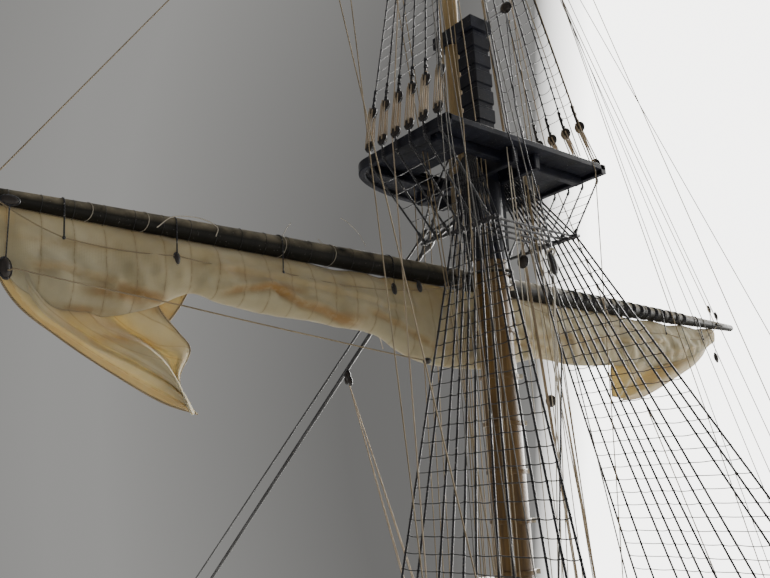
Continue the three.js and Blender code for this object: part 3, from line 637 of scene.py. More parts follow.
# %% Masthead and its bands
HEAD_HALF, CAP_FOOT, CAP_TOP = 4.54, 60.4, 65.9
BANDS, BAND_FIRST, BAND_PITCH, BAND_HEIGHT, BAND_PROUD = 5, 17.8, 8.5, 6.4, 0.55
TREE_FOOT, TREE_TOP, TREE_MIDDLE, TREE_HALF = -9.0, -2.7, 6.4, 1.5
UNDER_TREES = TREE_FOOT - 0.3  # the black band and the cheeks end just below the trestletrees


def square(half, low, high):
    """A square box round the mast's axis."""
    return (-half, half, -half, half, low, high)


masthead = Shape()
masthead.take(*turned([(BLACK_FROM + 0.3, HOUNDS), (UNDER_TREES, HOUNDS)], 48))
masthead.take(*blocks([square(HEAD_HALF, -17, CAP_FOOT - 0.3), square(HEAD_HALF - 1.2, 59.4, CAP_TOP)], 0.4))
masthead.take(*blocks([square(HEAD_HALF + BAND_PROUD, foot, foot + BAND_HEIGHT)
                       for foot in BAND_FIRST + BAND_PITCH * np.arange(BANDS)], 0.45))
masthead.take(*blocks([(-4.6, 6, side * 2 - 5.5, side * 2 + 5.5, -38, UNDER_TREES) for side in (-1, 1)], 0.6))
masthead.piece("banded_masthead", "mast", black_paint, "black_paint", ["masthead"])

# %% Trestletrees and crosstrees
CROSSTREES_X, CROSSTREE_HALF, CROSSTREE_REACH, CROSSTREE_FOOT = (-16.0, 21.5), 1.8, 42, -6.2
trees = [(-24, 34, side * TREE_MIDDLE - TREE_HALF, side * TREE_MIDDLE + TREE_HALF, TREE_FOOT, TREE_TOP)
         for side in (-1, 1)]
trees += [(x - CROSSTREE_HALF, x + CROSSTREE_HALF, -CROSSTREE_REACH, CROSSTREE_REACH, CROSSTREE_FOOT,
           TREE_TOP) for x in CROSSTREES_X]
Shape().take(*blocks(trees, 0.4)).piece(
    "trestletrees_and_crosstrees", "mast", black_paint, "black_paint", ["top_frame"])

# %% Outline of the top
TOP_HALF, TOP_AFT, TOP_ROUND, RIM_WIDTH = 46.0, -27.6, 21.5, 3.0
HOLE_AFT, HOLE_FORE, HOLE_HALF = -13.0, 18.9, 19.0


def top_front(y, inset=0.0):
    """The front edge: half an ellipse ahead of the straight sides."""
    half = TOP_HALF - inset
    return TOP_ROUND + (TOP_ROUND - inset) * np.sqrt(np.clip(1 - (y / half) ** 2, 0, 1))


def prism(outline, low, high):
    """A flat outline of corners, anticlockwise, raised from low to high."""
    outline = np.asarray(outline, float)
    n = len(outline)
    points = np.concatenate([np.column_stack([outline, np.full(n, z)]) for z in (low, high)])
    i = np.arange(n)
    walls = np.stack([i, (i + 1) % n, n + (i + 1) % n, n + i], -1)
    return [(points, walls, None), (points[:0], np.stack([i[::-1], n + i]) - len(points), None)]


def oval_front(inset=0.0):
    """The top's outline from its one aft corner round the front to the other, drawn in by inset."""
    turn = np.linspace(-np.pi / 2, np.pi / 2, 41)
    front = [TOP_ROUND + (TOP_ROUND - inset) * np.cos(turn), (TOP_HALF - inset) * np.sin(turn)]
    return np.concatenate([[(TOP_AFT, inset - TOP_HALF)], np.column_stack(front),
                           [(TOP_AFT, TOP_HALF - inset)]])


# %% Planked floor
PLANK, PLANK_GAP, PLANK_FOOT, PLANK_TOP = 4.6, 0.16, TREE_TOP + 0.3, -1.0
platform = Shape()
for edge in np.arange(-TOP_HALF + 1.0, TOP_HALF - 1.0, PLANK):
    low, high = edge + PLANK_GAP / 2, min(edge + PLANK, TOP_HALF - 1) - PLANK_GAP / 2
    ys = np.linspace(low, high, 4)
    front = np.column_stack([top_front(ys, 1.2), ys])
    crosses_hole = high > -HOLE_HALF and low < HOLE_HALF
    spans = [(TOP_AFT + 1, HOLE_AFT), (HOLE_FORE, None)] if crosses_hole else [(TOP_AFT + 1, None)]
    for start, end in spans:
        tip = front if end is None else np.array([(end, low), (end, high)])
        platform.take(*prism([(start, high), (start, low), *tip], PLANK_FOOT, PLANK_TOP))

# %% Rim, hole edges and ribs
RIM_SECTION = np.array([(0, -3.9), (0, -0.35), (0.12, 0), (0.88, 0), (1, -0.35), (1, -3.9), (0.85, -4.2),
                        (0.15, -4.2)])  # share of the rim's width from outside in, and height
HOLE_EDGE, RIB_HALF = 1.2, 0.5
outer, inner = oval_front(), oval_front(RIM_WIDTH)
rim_steps, rim_corners = len(outer), len(RIM_SECTION)
rim_points = np.concatenate([
    outer[:, None] + (inner - outer)[:, None] * RIM_SECTION[None, :, :1],
    np.broadcast_to(RIM_SECTION[None, :, 1:], (rim_steps, rim_corners, 1))], -1)
platform.add(rim_points, grid(rim_steps, rim_corners, close_columns=True))
ends = np.stack([np.arange(rim_corners)[::-1], (rim_steps - 1) * rim_corners + np.arange(rim_corners)])
platform.add(rim_points[:0], ends - rim_steps * rim_corners)
platform.take(*blocks([(TOP_AFT, TOP_AFT + RIM_WIDTH, -TOP_HALF + 0.5, TOP_HALF - 0.5, -2.5, 0)], 0.25))
hole_edges = [(HOLE_AFT - HOLE_EDGE, HOLE_AFT, -HOLE_HALF, HOLE_HALF),
              (HOLE_FORE, HOLE_FORE + HOLE_EDGE, -HOLE_HALF, HOLE_HALF),
              (HOLE_AFT, HOLE_FORE, -HOLE_HALF - HOLE_EDGE, -HOLE_HALF),
              (HOLE_AFT, HOLE_FORE, HOLE_HALF, HOLE_HALF + HOLE_EDGE)]
platform.take(*blocks([(*box, -2.3, -0.3) for box in hole_edges], 0.2))
rib_ends = [(y, HOLE_AFT - 1.5) for y in np.arange(-35, 36, 10.0)]
rib_ends += [(y, float(top_front(y, 3.2))) for y in (-40, -31, -23.5, 23.5, 31, 40)]
ribs = [(TOP_AFT + 3, end, y - RIB_HALF, y + RIB_HALF, -1.05, -0.3) for y, end in rib_ends]
platform.take(*blocks(ribs, 0.15))
platform.piece("planked_top", "mast", black_paint, "black_paint", ["top_platform"], 30)

# %% [markdown]
# ## Deadeyes and lanyards
#
# A deadeye is a round hardwood block with a groove for the shroud and three holes for the
# lanyard, which is laced to and fro between two of them and sets the shroud up taut. Each pair
# stands in its own frame: up along the lanyard, and flat side out. The strands start inside the
# holes, so that the holes are never empty.

# %% Frames and deadeyes
FLAT_WAY = np.array([[1, 0, 0], [0, 0, 1], [0, 1, 0]])  # turns a loop into the plane across the second axis
HOLES = np.array([(-0.5, 0.3), (0.0, -0.45), (0.5, 0.3)])  # sideways and up, as shares of the radius
LIP_RADIUS, LIP_THICK = 0.4, 0.13


def stood(up, flat=(0, 1, 0)):
    """Turning whose third axis is up, and whose second axis lies as near flat as it can."""
    up = np.asarray(up, float) / np.linalg.norm(up)
    side = np.cross(flat, up)
    side /= np.linalg.norm(side)
    return np.column_stack([side, np.cross(up, side), up])


def deadeye(radius, thick):
    """A turned disc with a rounded groove round its edge; its axis lies along the second axis. A
    raised ring stands round each of its three holes, on both faces."""
    t = thick / 2
    rows = [(-t, radius * 0.72), (-t * 0.8, radius * 0.94), (-t * 0.4, radius), (0, radius * 0.93),
            (t * 0.4, radius), (t * 0.8, radius * 0.94), (t, radius * 0.72)]
    rings = [loop((sideways * radius, face * t, up * radius), LIP_RADIUS, FLAT_WAY, 8)
             for face in (-1, 1) for sideways, up in HOLES]
    return turned(rows, 18, along="y") + rope(np.array(rings), LIP_THICK, 4, closed=True, beside=(0, 1, 0))


# %% Places along a rope, and the seizings there
def row_of(x, y, z):
    """Points in a row fore and aft, with one distance from the centre line and one height."""
    return np.column_stack([x, np.full(len(x), float(y)), np.full(len(x), float(z))])


def sided(points, side):
    """The same points to port or, mirrored, to starboard."""
    return np.asarray(points, float) * (1, side, 1)


def along(start, end, distance):
    """The point at a distance from end, back towards start."""
    start, end = np.asarray(start, float), np.asarray(end, float)
    way = (start - end) / np.linalg.norm(start - end, axis=-1, keepdims=True)
    return end + way * distance


def bands(start, end, distances, radius, height, sides=8):
    """Seizings: short thick turns of thread round a rope, at distances from its end."""
    return [part for d in distances for part in rope(
        np.stack([along(start, end, d - height / 2), along(start, end, d + height / 2)], 1), radius, sides)]


def square_turn(half, height, steps=24):
    """Rope round a square masthead: a circle stretched by 1.3 and cut back to the square's sides."""
    angle = 2 * np.pi * np.arange(steps) / steps
    x, y = (np.clip(1.3 * wave, -1, 1) * half for wave in (np.cos(angle), np.sin(angle)))
    return np.column_stack([x, y, np.full(steps, height)])


# %% Lanyards
LACE_RADIUS = 0.26


def lace(lower, upper, radius, thick, turn):
    """Six strands between the two deadeyes' holes: three on each face, straight on one side and
    slanted by one hole on the other; a seventh is the tail, hitched above the upper deadeye."""
    def strand(low, high, out):
        return [lower + turn @ low, lower + turn @ (low + out),
                upper + turn @ (high + out), upper + turn @ high]

    paths = []
    for face, shift in ((1, 0), (-1, 1)):
        out = np.array([0, face * (thick / 2 + 0.2), 0])
        for i in range(3):
            (low_x, low_z), (high_x, high_z) = HOLES[i], HOLES[min(i + shift, 2)]
            low, high = np.array([low_x, 0, -low_z]), np.array([high_x, 0, high_z])
            paths.append(strand(low * radius, high * radius, out))
    paths.append(strand(np.array([-0.2, 0, 0.4]) * radius, np.array([0.25, 0, 0.9]) * radius,
                        np.array([0, thick / 2 + 0.3, 0])))
    return np.array(paths)


def reeve(lowers, uppers, radius, thick, strop, knot_above, knot, gang, eyes, laces):
    """Between each lower and upper point: two deadeyes in their strops, the lanyard laced through them,
    and the knot of its tail above the upper one."""
    for lower, upper in zip(lowers, uppers):
        turn = stood(upper - lower)
        laces.take(*rope(lace(lower, upper, radius, thick, turn), LACE_RADIUS, 5))
        knot_at = [along(lower, upper, -radius - knot_above - rise) for rise in (0, 0.5)]
        laces.take(*rope(np.stack(knot_at), knot, 8))
        for middle in (lower, upper):
            for part in deadeye(radius, thick):
                eyes.add(*copies(part, [middle], turn[None])) if len(part[0]) else eyes.add(*part)
            gang.take(*rope(loop(middle, radius * 1.02, turn[:, [0, 2, 1]], 16), strop, 6, closed=True,
                            beside=turn[:, 1]))


# %% Blocks
sheaves, strops = Shape(), Shape()


def hang_block(place, length, width, thick, up=(0, 0, 1), flat=(0, 1, 0), shells=sheaves, rings=strops):
    """A rope block: a shell with its long way up, and a strop of rope laid round it."""
    shell = bead(np.array([width, thick, length]) / 2, 7, 12)
    round_shell = np.array([[width * 0.5, 0, 0], [0, 0, 1], [0, length * 0.52, 0]])
    way_round = loop((0, 0, 0), 1.0, round_shell, 18)
    strop = rope(way_round, 0.22 + 0.03 * width, 5, closed=True, beside=(0, 1, 0))[0]
    turn = stood(up, flat)[None]
    shells.add(*copies(shell, [place], turn))
    rings.add(*copies(strop, [place], turn))


# %% Where the shrouds run
SIDES = (("port", 1), ("starboard", -1))
CHANNEL_DROP, CHANNEL_Y, STAVE_DROP, STAVE_Y, BESIDE_STAVE = 285.0, 98.0, 35.0, 23.8, 22.2
DEADEYE_X = np.array([-12, -25, -43, -51.5, -60, -68.5, -85, -94, -117.5, -127.5, -137.5])
LOWER_EYE, UPPER_EYE, EYE_RADIUS, EYE_THICK = 4.4, 14.6, 2.4, 2.2
number = np.arange(len(DEADEYE_X))
head_x = 4.4 - 0.9 * number
head_points = row_of(head_x, 6.6, 3.0)
bolster_points = row_of(head_x * 1.05, 9.0, -1.0)
stave_points = row_of(-2.5 - 2.4 * number, BESIDE_STAVE, -STAVE_DROP)
down = (CHANNEL_DROP - UPPER_EYE - STAVE_DROP) / (CHANNEL_DROP - STAVE_DROP)
eye_points = row_of(stave_points[:, 0] + (DEADEYE_X - stave_points[:, 0]) * down,
                    BESIDE_STAVE + (CHANNEL_Y - BESIDE_STAVE) * down, UPPER_EYE - CHANNEL_DROP)
channel_points = row_of(DEADEYE_X, CHANNEL_Y, LOWER_EYE - CHANNEL_DROP)
print(len(DEADEYE_X), "shrouds a side, spread over", np.ptp(DEADEYE_X), "mm of the channel")

# %% Lower shrouds with their seizings, deadeyes and lanyards
SHROUD_RADIUS, DOUBLED = 0.42, 13  # the shroud's end is turned up round its deadeye, and lies doubled
for name, side in SIDES:
    gang, eyes, laces = Shape(), Shape(), Shape()
    heads, bolsters, staves = (sided(p, side) for p in (head_points, bolster_points, stave_points))
    uppers, lowers = sided(eye_points, side), sided(channel_points, side)
    above, below = strung(bolsters, staves)[:, :-6:6], strung(staves, uppers)
    gang.take(*rope(np.concatenate([heads[:, None], above, below], 1), SHROUD_RADIUS, 8))
    gang.take(*bands(bolsters, staves, (26, 29), 0.72, 2.4), *bands(bolsters, staves, (0.0,), 0.66, 1.2))
    doubled = np.stack([along(staves, uppers, EYE_RADIUS), along(staves, uppers, DOUBLED)], 1)
    gang.take(*rope(doubled + (0.75, 0, 0), SHROUD_RADIUS * 0.9, 6))
    gang.take(*bands(staves, uppers, (3.6, 7.5, 11.5), 0.98, 1.1))
    reeve(lowers, uppers, EYE_RADIUS, EYE_THICK, 0.36, 1.1, 0.72, gang, eyes, laces)
    collar = np.array([square_turn(5.45, (1.0 if side > 0 else 1.9) + 1.75 * i) for i in range(5)])
    gang.take(*rope(collar, 0.44, 6, closed=True, beside=(0, 0, 1)))
    gang.piece(f"{name}_shroud_gang", "mast", tarred_rope, "tarred_rope", [f"{name}_shrouds"])
    eyes.piece(f"{name}_shroud_deadeyes", "mast", block_wood, "black_paint")
    laces.piece(f"{name}_shroud_lanyards", "mast", lanyard_rope, "tarred_rope")

# %% [markdown]
# ## Ratlines
#
# The steps of the rope ladders are thin lines, five millimetres apart, tied round every shroud
# with a clove hitch. All the rows of one gang are one array: a row is a line through its hitches
# that hangs a little between them, by the formula of a parabola.

# %% Rows of steps on a gang of ropes
def ratlines(starts, ends, heights, sag=0.3, between=5, loose=7):
    """Rows at the given heights. A row's hitches lie where each rope crosses that height; between
    two hitches the line hangs by sag * 4 s (1 - s), with a little seeded unevenness."""
    draw = np.random.default_rng(loose)
    share = (heights[:, None, None] - starts[None, :, 2:]) / (ends - starts)[None, :, 2:]
    hitches = starts[None] + (ends - starts)[None] * share
    hitches[..., 2] += draw.uniform(-0.18, 0.18, hitches.shape[:2])
    s = np.linspace(0, 1, between, endpoint=False)[None, None, :, None]
    spans = hitches[:, :-1, None] * (1 - s) + hitches[:, 1:, None] * s
    dip = sag * draw.uniform(0.3, 1.6, (*spans.shape[:2], 1))
    spans[..., 2] -= dip * (4 * s * (1 - s))[..., 0]
    rows = np.concatenate([spans.reshape(len(heights), -1, 3), hitches[:, -1:]], 1)
    return rows, hitches.reshape(-1, 3)


STEP = 5.0
hitch = bead((0.62, 0.62, 0.42), 4, 6)
for name, side in SIDES:
    ladder = Shape()
    heights = np.arange(-STAVE_DROP - STEP, UPPER_EYE - CHANNEL_DROP + 15, -STEP)
    rows, ties = ratlines(sided(stave_points, side), sided(eye_points, side), heights, loose=3 + side)
    ladder.take(*rope(rows, 0.19, 5))
    ladder.add(*copies(hitch, ties))
    ladder.piece(f"{name}_ratlines", "mast", ratline_thread, "tarred_rope")

# %% [markdown]
# ## Channels
#
# The channels are planks on the ship's side that spread the shrouds. Each lower deadeye stands on
# the plank in an iron strap, and a chain plate runs down from it to the hull.

# %% Channel planks, straps and chain plates
INBOARD, OUTBOARD, PLANK_THICK, CHAIN_END = 88.0, 99.6, 1.8, 13.6
for name, side in SIDES:
    channel = Shape()
    inner, outer = sorted((side * INBOARD, side * OUTBOARD))
    channel.take(*blocks([(-146, -4, inner, outer, -CHANNEL_DROP - PLANK_THICK, -CHANNEL_DROP)], 0.3))
    strap = sided(channel_points, side) - (0, 0, EYE_RADIUS + 0.2)
    channel.take(*rope(np.stack([strap, strap - (0, 0, LOWER_EYE - EYE_RADIUS + 1.2)], 1), 0.45, 8))
    knee = row_of(DEADEYE_X, side * 97.2, -CHANNEL_DROP - 2.2)
    hull_end = row_of(DEADEYE_X, side * 89.5, -CHANNEL_DROP - CHAIN_END)
    channel.take(*rope(np.stack([knee, hull_end], 1), 0.5, 8))
    for share in (0.35, 0.85):
        rivets = knee + (hull_end - knee) * share + (0, side * 0.35, 0)
        channel.add(*copies(bead((0.75, 0.5, 0.75), 4, 8), rivets))
    channel.piece(f"{name}_channel_plank", "mast", black_paint, "black_paint", [f"{name}_channel"])

# %% [markdown]
# ## Futtock shrouds and catharpins
#
# The topmast shrouds end on the edge of the top, and their pull is carried inwards under it by
# the futtock shrouds, down to a stave that is lashed across the lower shrouds. Catharpins draw
# the two staves together behind the mast.

# %% Where the futtock and topmast shrouds run
FUTTOCKS = 6
TOP_ROW = {  # first foot and first upper deadeye forwards, their pitch, the upper deadeyes' side and height
    "port": (-25.0, -24.8, 8.18, 44.4, 18.0), "starboard": (-22.0, -18.5, 7.8, 43.6, 20.7)}
TOP_EYE_Y, TOP_EYE_Z, TOP_EYE_RADIUS, TOP_EYE_THICK = 46.9, 2.6, 2.25, 2.1
pitches = np.arange(FUTTOCKS)
lower_x = {name: row[0] + row[2] * pitches for name, row in TOP_ROW.items()}
upper_x = {name: row[1] + row[2] * pitches for name, row in TOP_ROW.items()}
stave_grip = row_of(-24 + 7.2 * pitches, STAVE_Y, -STAVE_DROP)

# %% Futtock shrouds on their staves
for name, side in SIDES:
    futtock = Shape()
    feet, grips = sided(row_of(lower_x[name], TOP_EYE_Y + 0.1, -5.0), side), sided(stave_grip, side)
    stave = straight((-27, side * STAVE_Y, -STAVE_DROP), (14.3, side * STAVE_Y, -STAVE_DROP), 30)
    futtock.take(*rope(stave, 0.7, 8), *rope(strung(feet, grips, 12), 0.4, 8))
    futtock.take(*bands(feet, grips, (1.2, 4.2), 0.75, 1.8), *bands(grips, feet, (1.0,), 0.65, 1.6))
    futtock.take(*rope(np.stack([feet + (0, 0, 0.3), feet + (0, 0, 6.2)], 1), 0.46, 8))
    crossings = np.concatenate([sided(stave_points, side), grips])
    futtock.add(*copies(bead((1.0, 1.15, 1.05), 5, 8), crossings))
    rows, ties = ratlines(feet, grips, np.array([-12.0, -17, -22, -27]), 0.2, 4, 11)
    futtock.take(*rope(rows, 0.17, 5))
    futtock.add(*copies(hitch, ties))
    futtock.piece(f"{name}_futtock_rigging", "mast", tarred_rope, "tarred_rope", [f"{name}_futtock_shrouds"])

# %% Catharpins
CATHARPINS, REACH = 4, STAVE_Y - 1.1
for i in range(CATHARPINS):
    x = -2.5 - 2.4 * (3.5 + 2 * i)
    pin = lambda y: (x, y, -STAVE_DROP)
    served = Shape().take(*rope(straight(pin(-REACH), pin(REACH), 24, 0.15), 0.5, 8))
    served.take(*rope(np.array([[pin(s * (REACH - 1.6)), pin(s * REACH)] for s in (-1, 1)]), 0.78, 8))
    served.piece(f"served_catharpin_{i + 1}", "mast", tarred_rope, "tarred_rope", [f"catharpin_{i + 1}"])

# %% Topmast shrouds, deadeyes on the top and their lanyards
AT_TREES = 232.8  # where the shrouds leave the topmast's crosstrees
for name, side in SIDES:
    gang, eyes, laces = Shape(), Shape(), Shape()
    shroud_top = sided(row_of(TOPMAST_X - 2.4 + 0.5 * pitches, 5.2, AT_TREES), side)
    shroud_head = shroud_top * (1, 0, 1) + np.array((0, side * 3.6, 1.2))
    uppers = sided(row_of(upper_x[name], *TOP_ROW[name][3:]), side)
    lowers = sided(row_of(lower_x[name], TOP_EYE_Y, TOP_EYE_Z), side)
    gang.take(*rope(np.concatenate([shroud_head[:, None], strung(shroud_top, uppers)], 1), 0.35, 8))
    doubled = np.stack([along(shroud_top, uppers, TOP_EYE_RADIUS), along(shroud_top, uppers, 11)], 1)
    gang.take(*rope(doubled + (0.62, 0, 0), 0.32, 6), *bands(shroud_top, uppers, (3.2, 6.5, 9.8), 0.82, 0.9))
    reeve(lowers, uppers, TOP_EYE_RADIUS, TOP_EYE_THICK, 0.3, 0.9, 0.6, gang, eyes, laces)
    sag = 0.4 if side > 0 else 1.0
    rows, ties = ratlines(shroud_top, uppers, np.arange(28, 225, STEP), sag, 7, 20 + side)
    gang.take(*rope(rows, 0.17, 5))
    gang.add(*copies(hitch, ties))
    turns = np.array([square_turn(2.6, (232.7 if side > 0 else 233.2) + 1.0 * i, 16) for i in range(5)])
    gang.take(*rope(turns + (TOPMAST_X, 0, 0), 0.3, 6, closed=True, beside=(0, 0, 1)))
    gang.piece(f"{name}_topmast_gang", "mast", tarred_rope, "tarred_rope", [f"{name}_topmast_shrouds"])
    eyes.piece(f"{name}_top_deadeyes", "mast", block_wood, "black_paint")
    laces.piece(f"{name}_top_lanyards", "mast", lanyard_rope, "tarred_rope")

# %% [markdown]
# ## Main stay and preventer stay
#
# The thickest ropes on the mast hold it forwards. Each is a loop round the masthead whose two
# legs meet at the mouse, a pear-shaped swelling of woven thread that keeps the loop from running
# tight. Below the mouse the rope goes straight down to the foot of the mast ahead.

# %% Stays with their mouses
STAYS = (  # height of the collar, radius, the mouse and the end forwards and up, extra spread of the legs
    ("main_stay", 11.0, 0.95, (37.0, -25.2), (258.0, -184.0), 0.0),
    ("preventer_stay", 14.4, 0.5, (41.0, -20.6), (276.0, -182.5), 2.1))
SWELL = np.array([(-5, 1.1), (-3.5, 1.7), (-1.5, 2.3), (0.5, 2.4), (2.5, 1.7), (4.5, 1.15)])  # of the mouse
COLLAR_HALF = HEAD_HALF + 1.3
for name, height, radius, (mouse_x, mouse_z), (end_x, end_z), spread in STAYS:
    stay = Shape()
    mouse, end = np.array((mouse_x, 0, mouse_z)), np.array((end_x, 0, end_z))
    collar = [(x * COLLAR_HALF, y * COLLAR_HALF, height) for x, y in ((1, -1), (-1, -1), (-1, 1), (1, 1))]
    legs = [(9.5 + spread, 9.4 + spread, -1.0), (18 + spread, 9.2 + spread, spread - 11.6), tuple(mouse)]
    route = [(x, -y, z) for x, y, z in legs[::-1]] + collar + legs
    stay.take(*rope(np.array(route), radius * 0.85, 8))
    length = np.linalg.norm(end - mouse)
    way = (end - mouse) / length
    stay.take(*rope(mouse + way * np.linspace(-2, length, 120)[:, None], radius, 10))
    stay.take(*rope(mouse + way * SWELL[:, :1], radius * SWELL[None, :, 1], 12))
    stay.take(*bands(end[None], mouse[None], (-7.0, -10.0), radius * 1.25, 1.4))
    heart = stood(way)
    eye = loop(end + way * 2.2, 2.2 + radius * 1.3, heart[:, [0, 2, 1]], 20)
    stay.take(*rope(eye, 0.55 + radius * 0.5, 8, closed=True, beside=heart[:, 1]))
    stay.take(*bands(mouse[None], end[None], (1.0, 4.0, 7.0), radius * 1.6, 1.3))
    stay.piece(f"laid_{name}", "mast", tarred_rope, "tarred_rope", [name])

# %% [markdown]
# ## Yards
#
# A yard is a long spar that is thickest in the middle. It hangs by its sling, and turns about the
# mast. Cleats stop the ropes at its arms, stirrups carry the footrope on which the crew stood,
# and robands, short turns of line, tie the sail's head to it.

# %% How a yard's radius and height run
YARDS = {  # the mast's middle and radius, then the yard's x, z, half length, radius and slope to port
    "main_yard": (0.0, 6.9, 11.34, -48.0, 203.0, 4.2, 0.0075),
    "topsail_yard": (12.64, 3.1, 20.74, 198.0, 142.0, 2.45, 0.0),
    "topgallant_yard": (17.4, 1.75, 21.7, 310.0, 94.0, 1.55, 0.0),
    "royal_yard": (17.4, 1.2, 20.7, 385.0, 68.0, 1.1, 0.0)}
YARD_TAPER = np.array([(0, 1), (0.12, 1), (0.25, 0.97), (0.5, 0.88), (0.75, 0.7), (1, 0.43)])


def yard_radius(y, half, middle):
    """The spar's radius: a share of the radius amidships at each share of the half length."""
    return middle * np.interp(np.abs(y) / half, *YARD_TAPER.T)


def topped_up(parts, slope):
    """Raise every point by its distance to port times the slope."""
    raised = lambda points: points + points[..., 1:2] * (0, 0, slope)
    return [(raised(np.asarray(points)), *rest) for points, *rest in parts]


# %% Yard spars with cleats, and the collars that hold them to the mast
ONE_WAY = np.array([0.25, 0.42, 0.6, 0.76, 0.92, 0.995, 1])  # stations, as shares of the half length
STATIONS = np.concatenate([-ONE_WAY[::-1], [0], ONE_WAY])
CLEATS = ((0.92, 0.33), (0.055, 0.3))  # share of the half length, and size as a share of the radius
for name, (mast_x, mast_r, x, z, half, radius, slope) in YARDS.items():
    spar = Shape()
    ways = half * STATIONS
    radii = yard_radius(ways, half, radius)
    radii[[0, -1]] *= 0.8
    spar.take(*topped_up(turned(np.column_stack([ways, radii]), 28, (x, 0, z), "y"), slope))
    cleats = []
    for side in (-1, 1):
        for share, size_share in CLEATS:
            y, size = side * share * half, radius * size_share
            r = float(yard_radius(y, half, radius))
            for face in (-1, 1):
                cleats.append((*sorted((x + face * (r - size * 0.4), x + face * (r + size * 0.5))),
                               y - size * 2.2, y + size * 2.2, z - size / 2, z + size / 2))
    spar.take(*topped_up(blocks(cleats, radius * 0.06), slope))
    thick = (0.7 + radius * 0.12) * 0.7
    reach = mast_r + 0.75 + thick
    turn = np.linspace(np.pi / 2, 3 * np.pi / 2, 13)
    collar = np.column_stack([mast_x + reach * np.cos(turn), reach * np.sin(turn), np.full(13, z)])
    collar = np.concatenate([[(x, reach, z)], collar, [(x, -reach, z)]])
    spar.take(*rope(collar, thick * 0.88, 8))
    spar.piece(f"turned_{name}", name, dark_spar, "dark_spar", [name], 35)

# %% [markdown]
# ## The hauled-up course
#
# The sail is drawn up to its yard and hangs in a long bunch, with both lower corners hanging in folds. A
# simulation would crumple it another way each time, so the folds are drawn: each row of a table is one fold's
# line from the yard down, and a smooth surface runs through all of them. Creases are then pressed into it,
# bulging above their line and hollow below.

# %% A smooth net of curves
def smooth_net(net, rows, columns):
    """Catmull-Rom curves through the net both ways. Between two rows p1 and p2 with neighbours p0
    and p3, a point at t is half of 2 p1 + (p2 - p0) t + (2 p0 - 5 p1 + 4 p2 - p3) t2
    + (3 p1 - p0 - 3 p2 + p3) t3."""
    def through(points, count):
        padded = np.concatenate([2 * points[:1] - points[1:2], points, 2 * points[-1:] - points[-2:-1]])
        at = np.linspace(0, len(points) - 1, count)
        i = np.minimum(at.astype(int), len(points) - 2)
        t = (at - i)[:, None, None]
        p0, p1, p2, p3 = (padded[i + k] for k in range(4))
        return 0.5 * (2 * p1 + (p2 - p0) * t + (2 * p0 - 5 * p1 + 4 * p2 - p3) * t ** 2
                      + (3 * p1 - p0 - 3 * p2 + p3) * t ** 3)

    fine = through(np.asarray(net, float), rows)
    return through(fine.swapaxes(0, 1), columns).swapaxes(0, 1)


def cloth(surface, across, down):
    """A grid of points as faces, with millimetres of cloth on its UV map."""
    rows, columns = surface.shape[:2]
    faces = grid(rows, columns)
    spot = np.stack([np.broadcast_to(across, (rows, columns)), np.broadcast_to(down, (rows, columns))], -1)
    return surface.reshape(-1, 3), faces, spot.reshape(-1, 2)[faces]


def run_along(surface, axis):
    """Millimetres of cloth from the net's first line, along one way of the net."""
    first = surface[:1] if axis == 0 else surface[:, :1]
    return np.cumsum(np.linalg.norm(np.diff(surface, axis=axis, prepend=first), axis=-1), axis)


# %% Creases pressed into the cloth, with stains and painted shade along them
CREASES = (  # how deep, how stained and shaded, then the crease's line (y, z) from outboard in
    (0.8, 0.5, (176, -66), (165, -65.5), (152, -68), (140, -70.5), (131, -71)),
    (1.0, 0.9, (117, -67.1), (107.2, -64.9), (97.5, -63.2), (87.5, -67.2), (76.4, -68.7), (66.7, -71.6),
     (56.7, -73.4)),
    (0.8, 0.6, (60, -66), (48, -69), (36, -74), (24, -79.5)),
    (0.5, 0.2, (122, -60), (110, -58.8), (90, -60), (60, -62.5), (30, -66)),
    (0.8, 0.4, (-20, -70), (-50, -68), (-90, -66), (-130, -64)),
    (0.6, 0.5, (14, -74), (-14, -72.5), (-45, -74)),
    (0.5, 0.3, (-105, -71), (-130, -70), (-160, -64)))
BLOTCHES = (  # y and z of the middle, how wide and how high, how strong: stains, with painted shade in the hollows under the bunch's lip
    (150, -71.6, 9, 1.7, 1.0), (158, -77, 7, 1.4, 0.9), (146, -84.5, 12, 2.0, 0.9), (133, -73.5, 9, 2.6, 0.8),
    (92, -63.5, 7, 1.6, 0.9), (150, -80, 7, 1.6, 0.7), (64, -70, 7, 1.5, 0.6), (110, -60.5, 6, 2.0, 0.35),
    (20, -78, 8, 2.5, 0.4), (-60, -71, 14, 3, 0.35), (165, -58.5, 14, 1.2, 0.4))
WRINKLES = (  # length and height of each wave
    (12.0, 0.22), (9.0, 0.18), (7.0, 0.13), (5.2, 0.09), (4.0, 0.06), (3.1, 0.045))


def bell(x, at, wide):
    """The bell curve exp(-((x - at) / wide) squared)."""
    return np.exp(-((x - at) / wide) ** 2)


def creased(y, z):
    """How far the cloth is pushed forwards, and how stained and shaded it is: above a crease's line it bulges
    aft by a bell curve, just below it a narrower bell curve pulls it in, and stain with painted shade lies
    along the line."""
    push, stain = np.zeros(y.shape), np.zeros(y.shape)
    for deep, stained_and_shaded, *line in CREASES:
        ys, zs = np.array(line[::-1]).T
        above = z - np.interp(y, ys, zs)
        near = np.clip(np.minimum(y - ys[0], ys[-1] - y) / 6, 0, 1)
        push += deep * near * (0.9 * bell(above, -0.9, 0.8) - 1.1 * bell(above, 0.9, 1.5))
        stain += stained_and_shaded * near * bell(above, -0.3, 1.3)
    for at_y, at_z, wide, high, strength in BLOTCHES:
        stain += strength * bell(y, at_y, wide) * bell(z, at_z, high)
    return push, stain


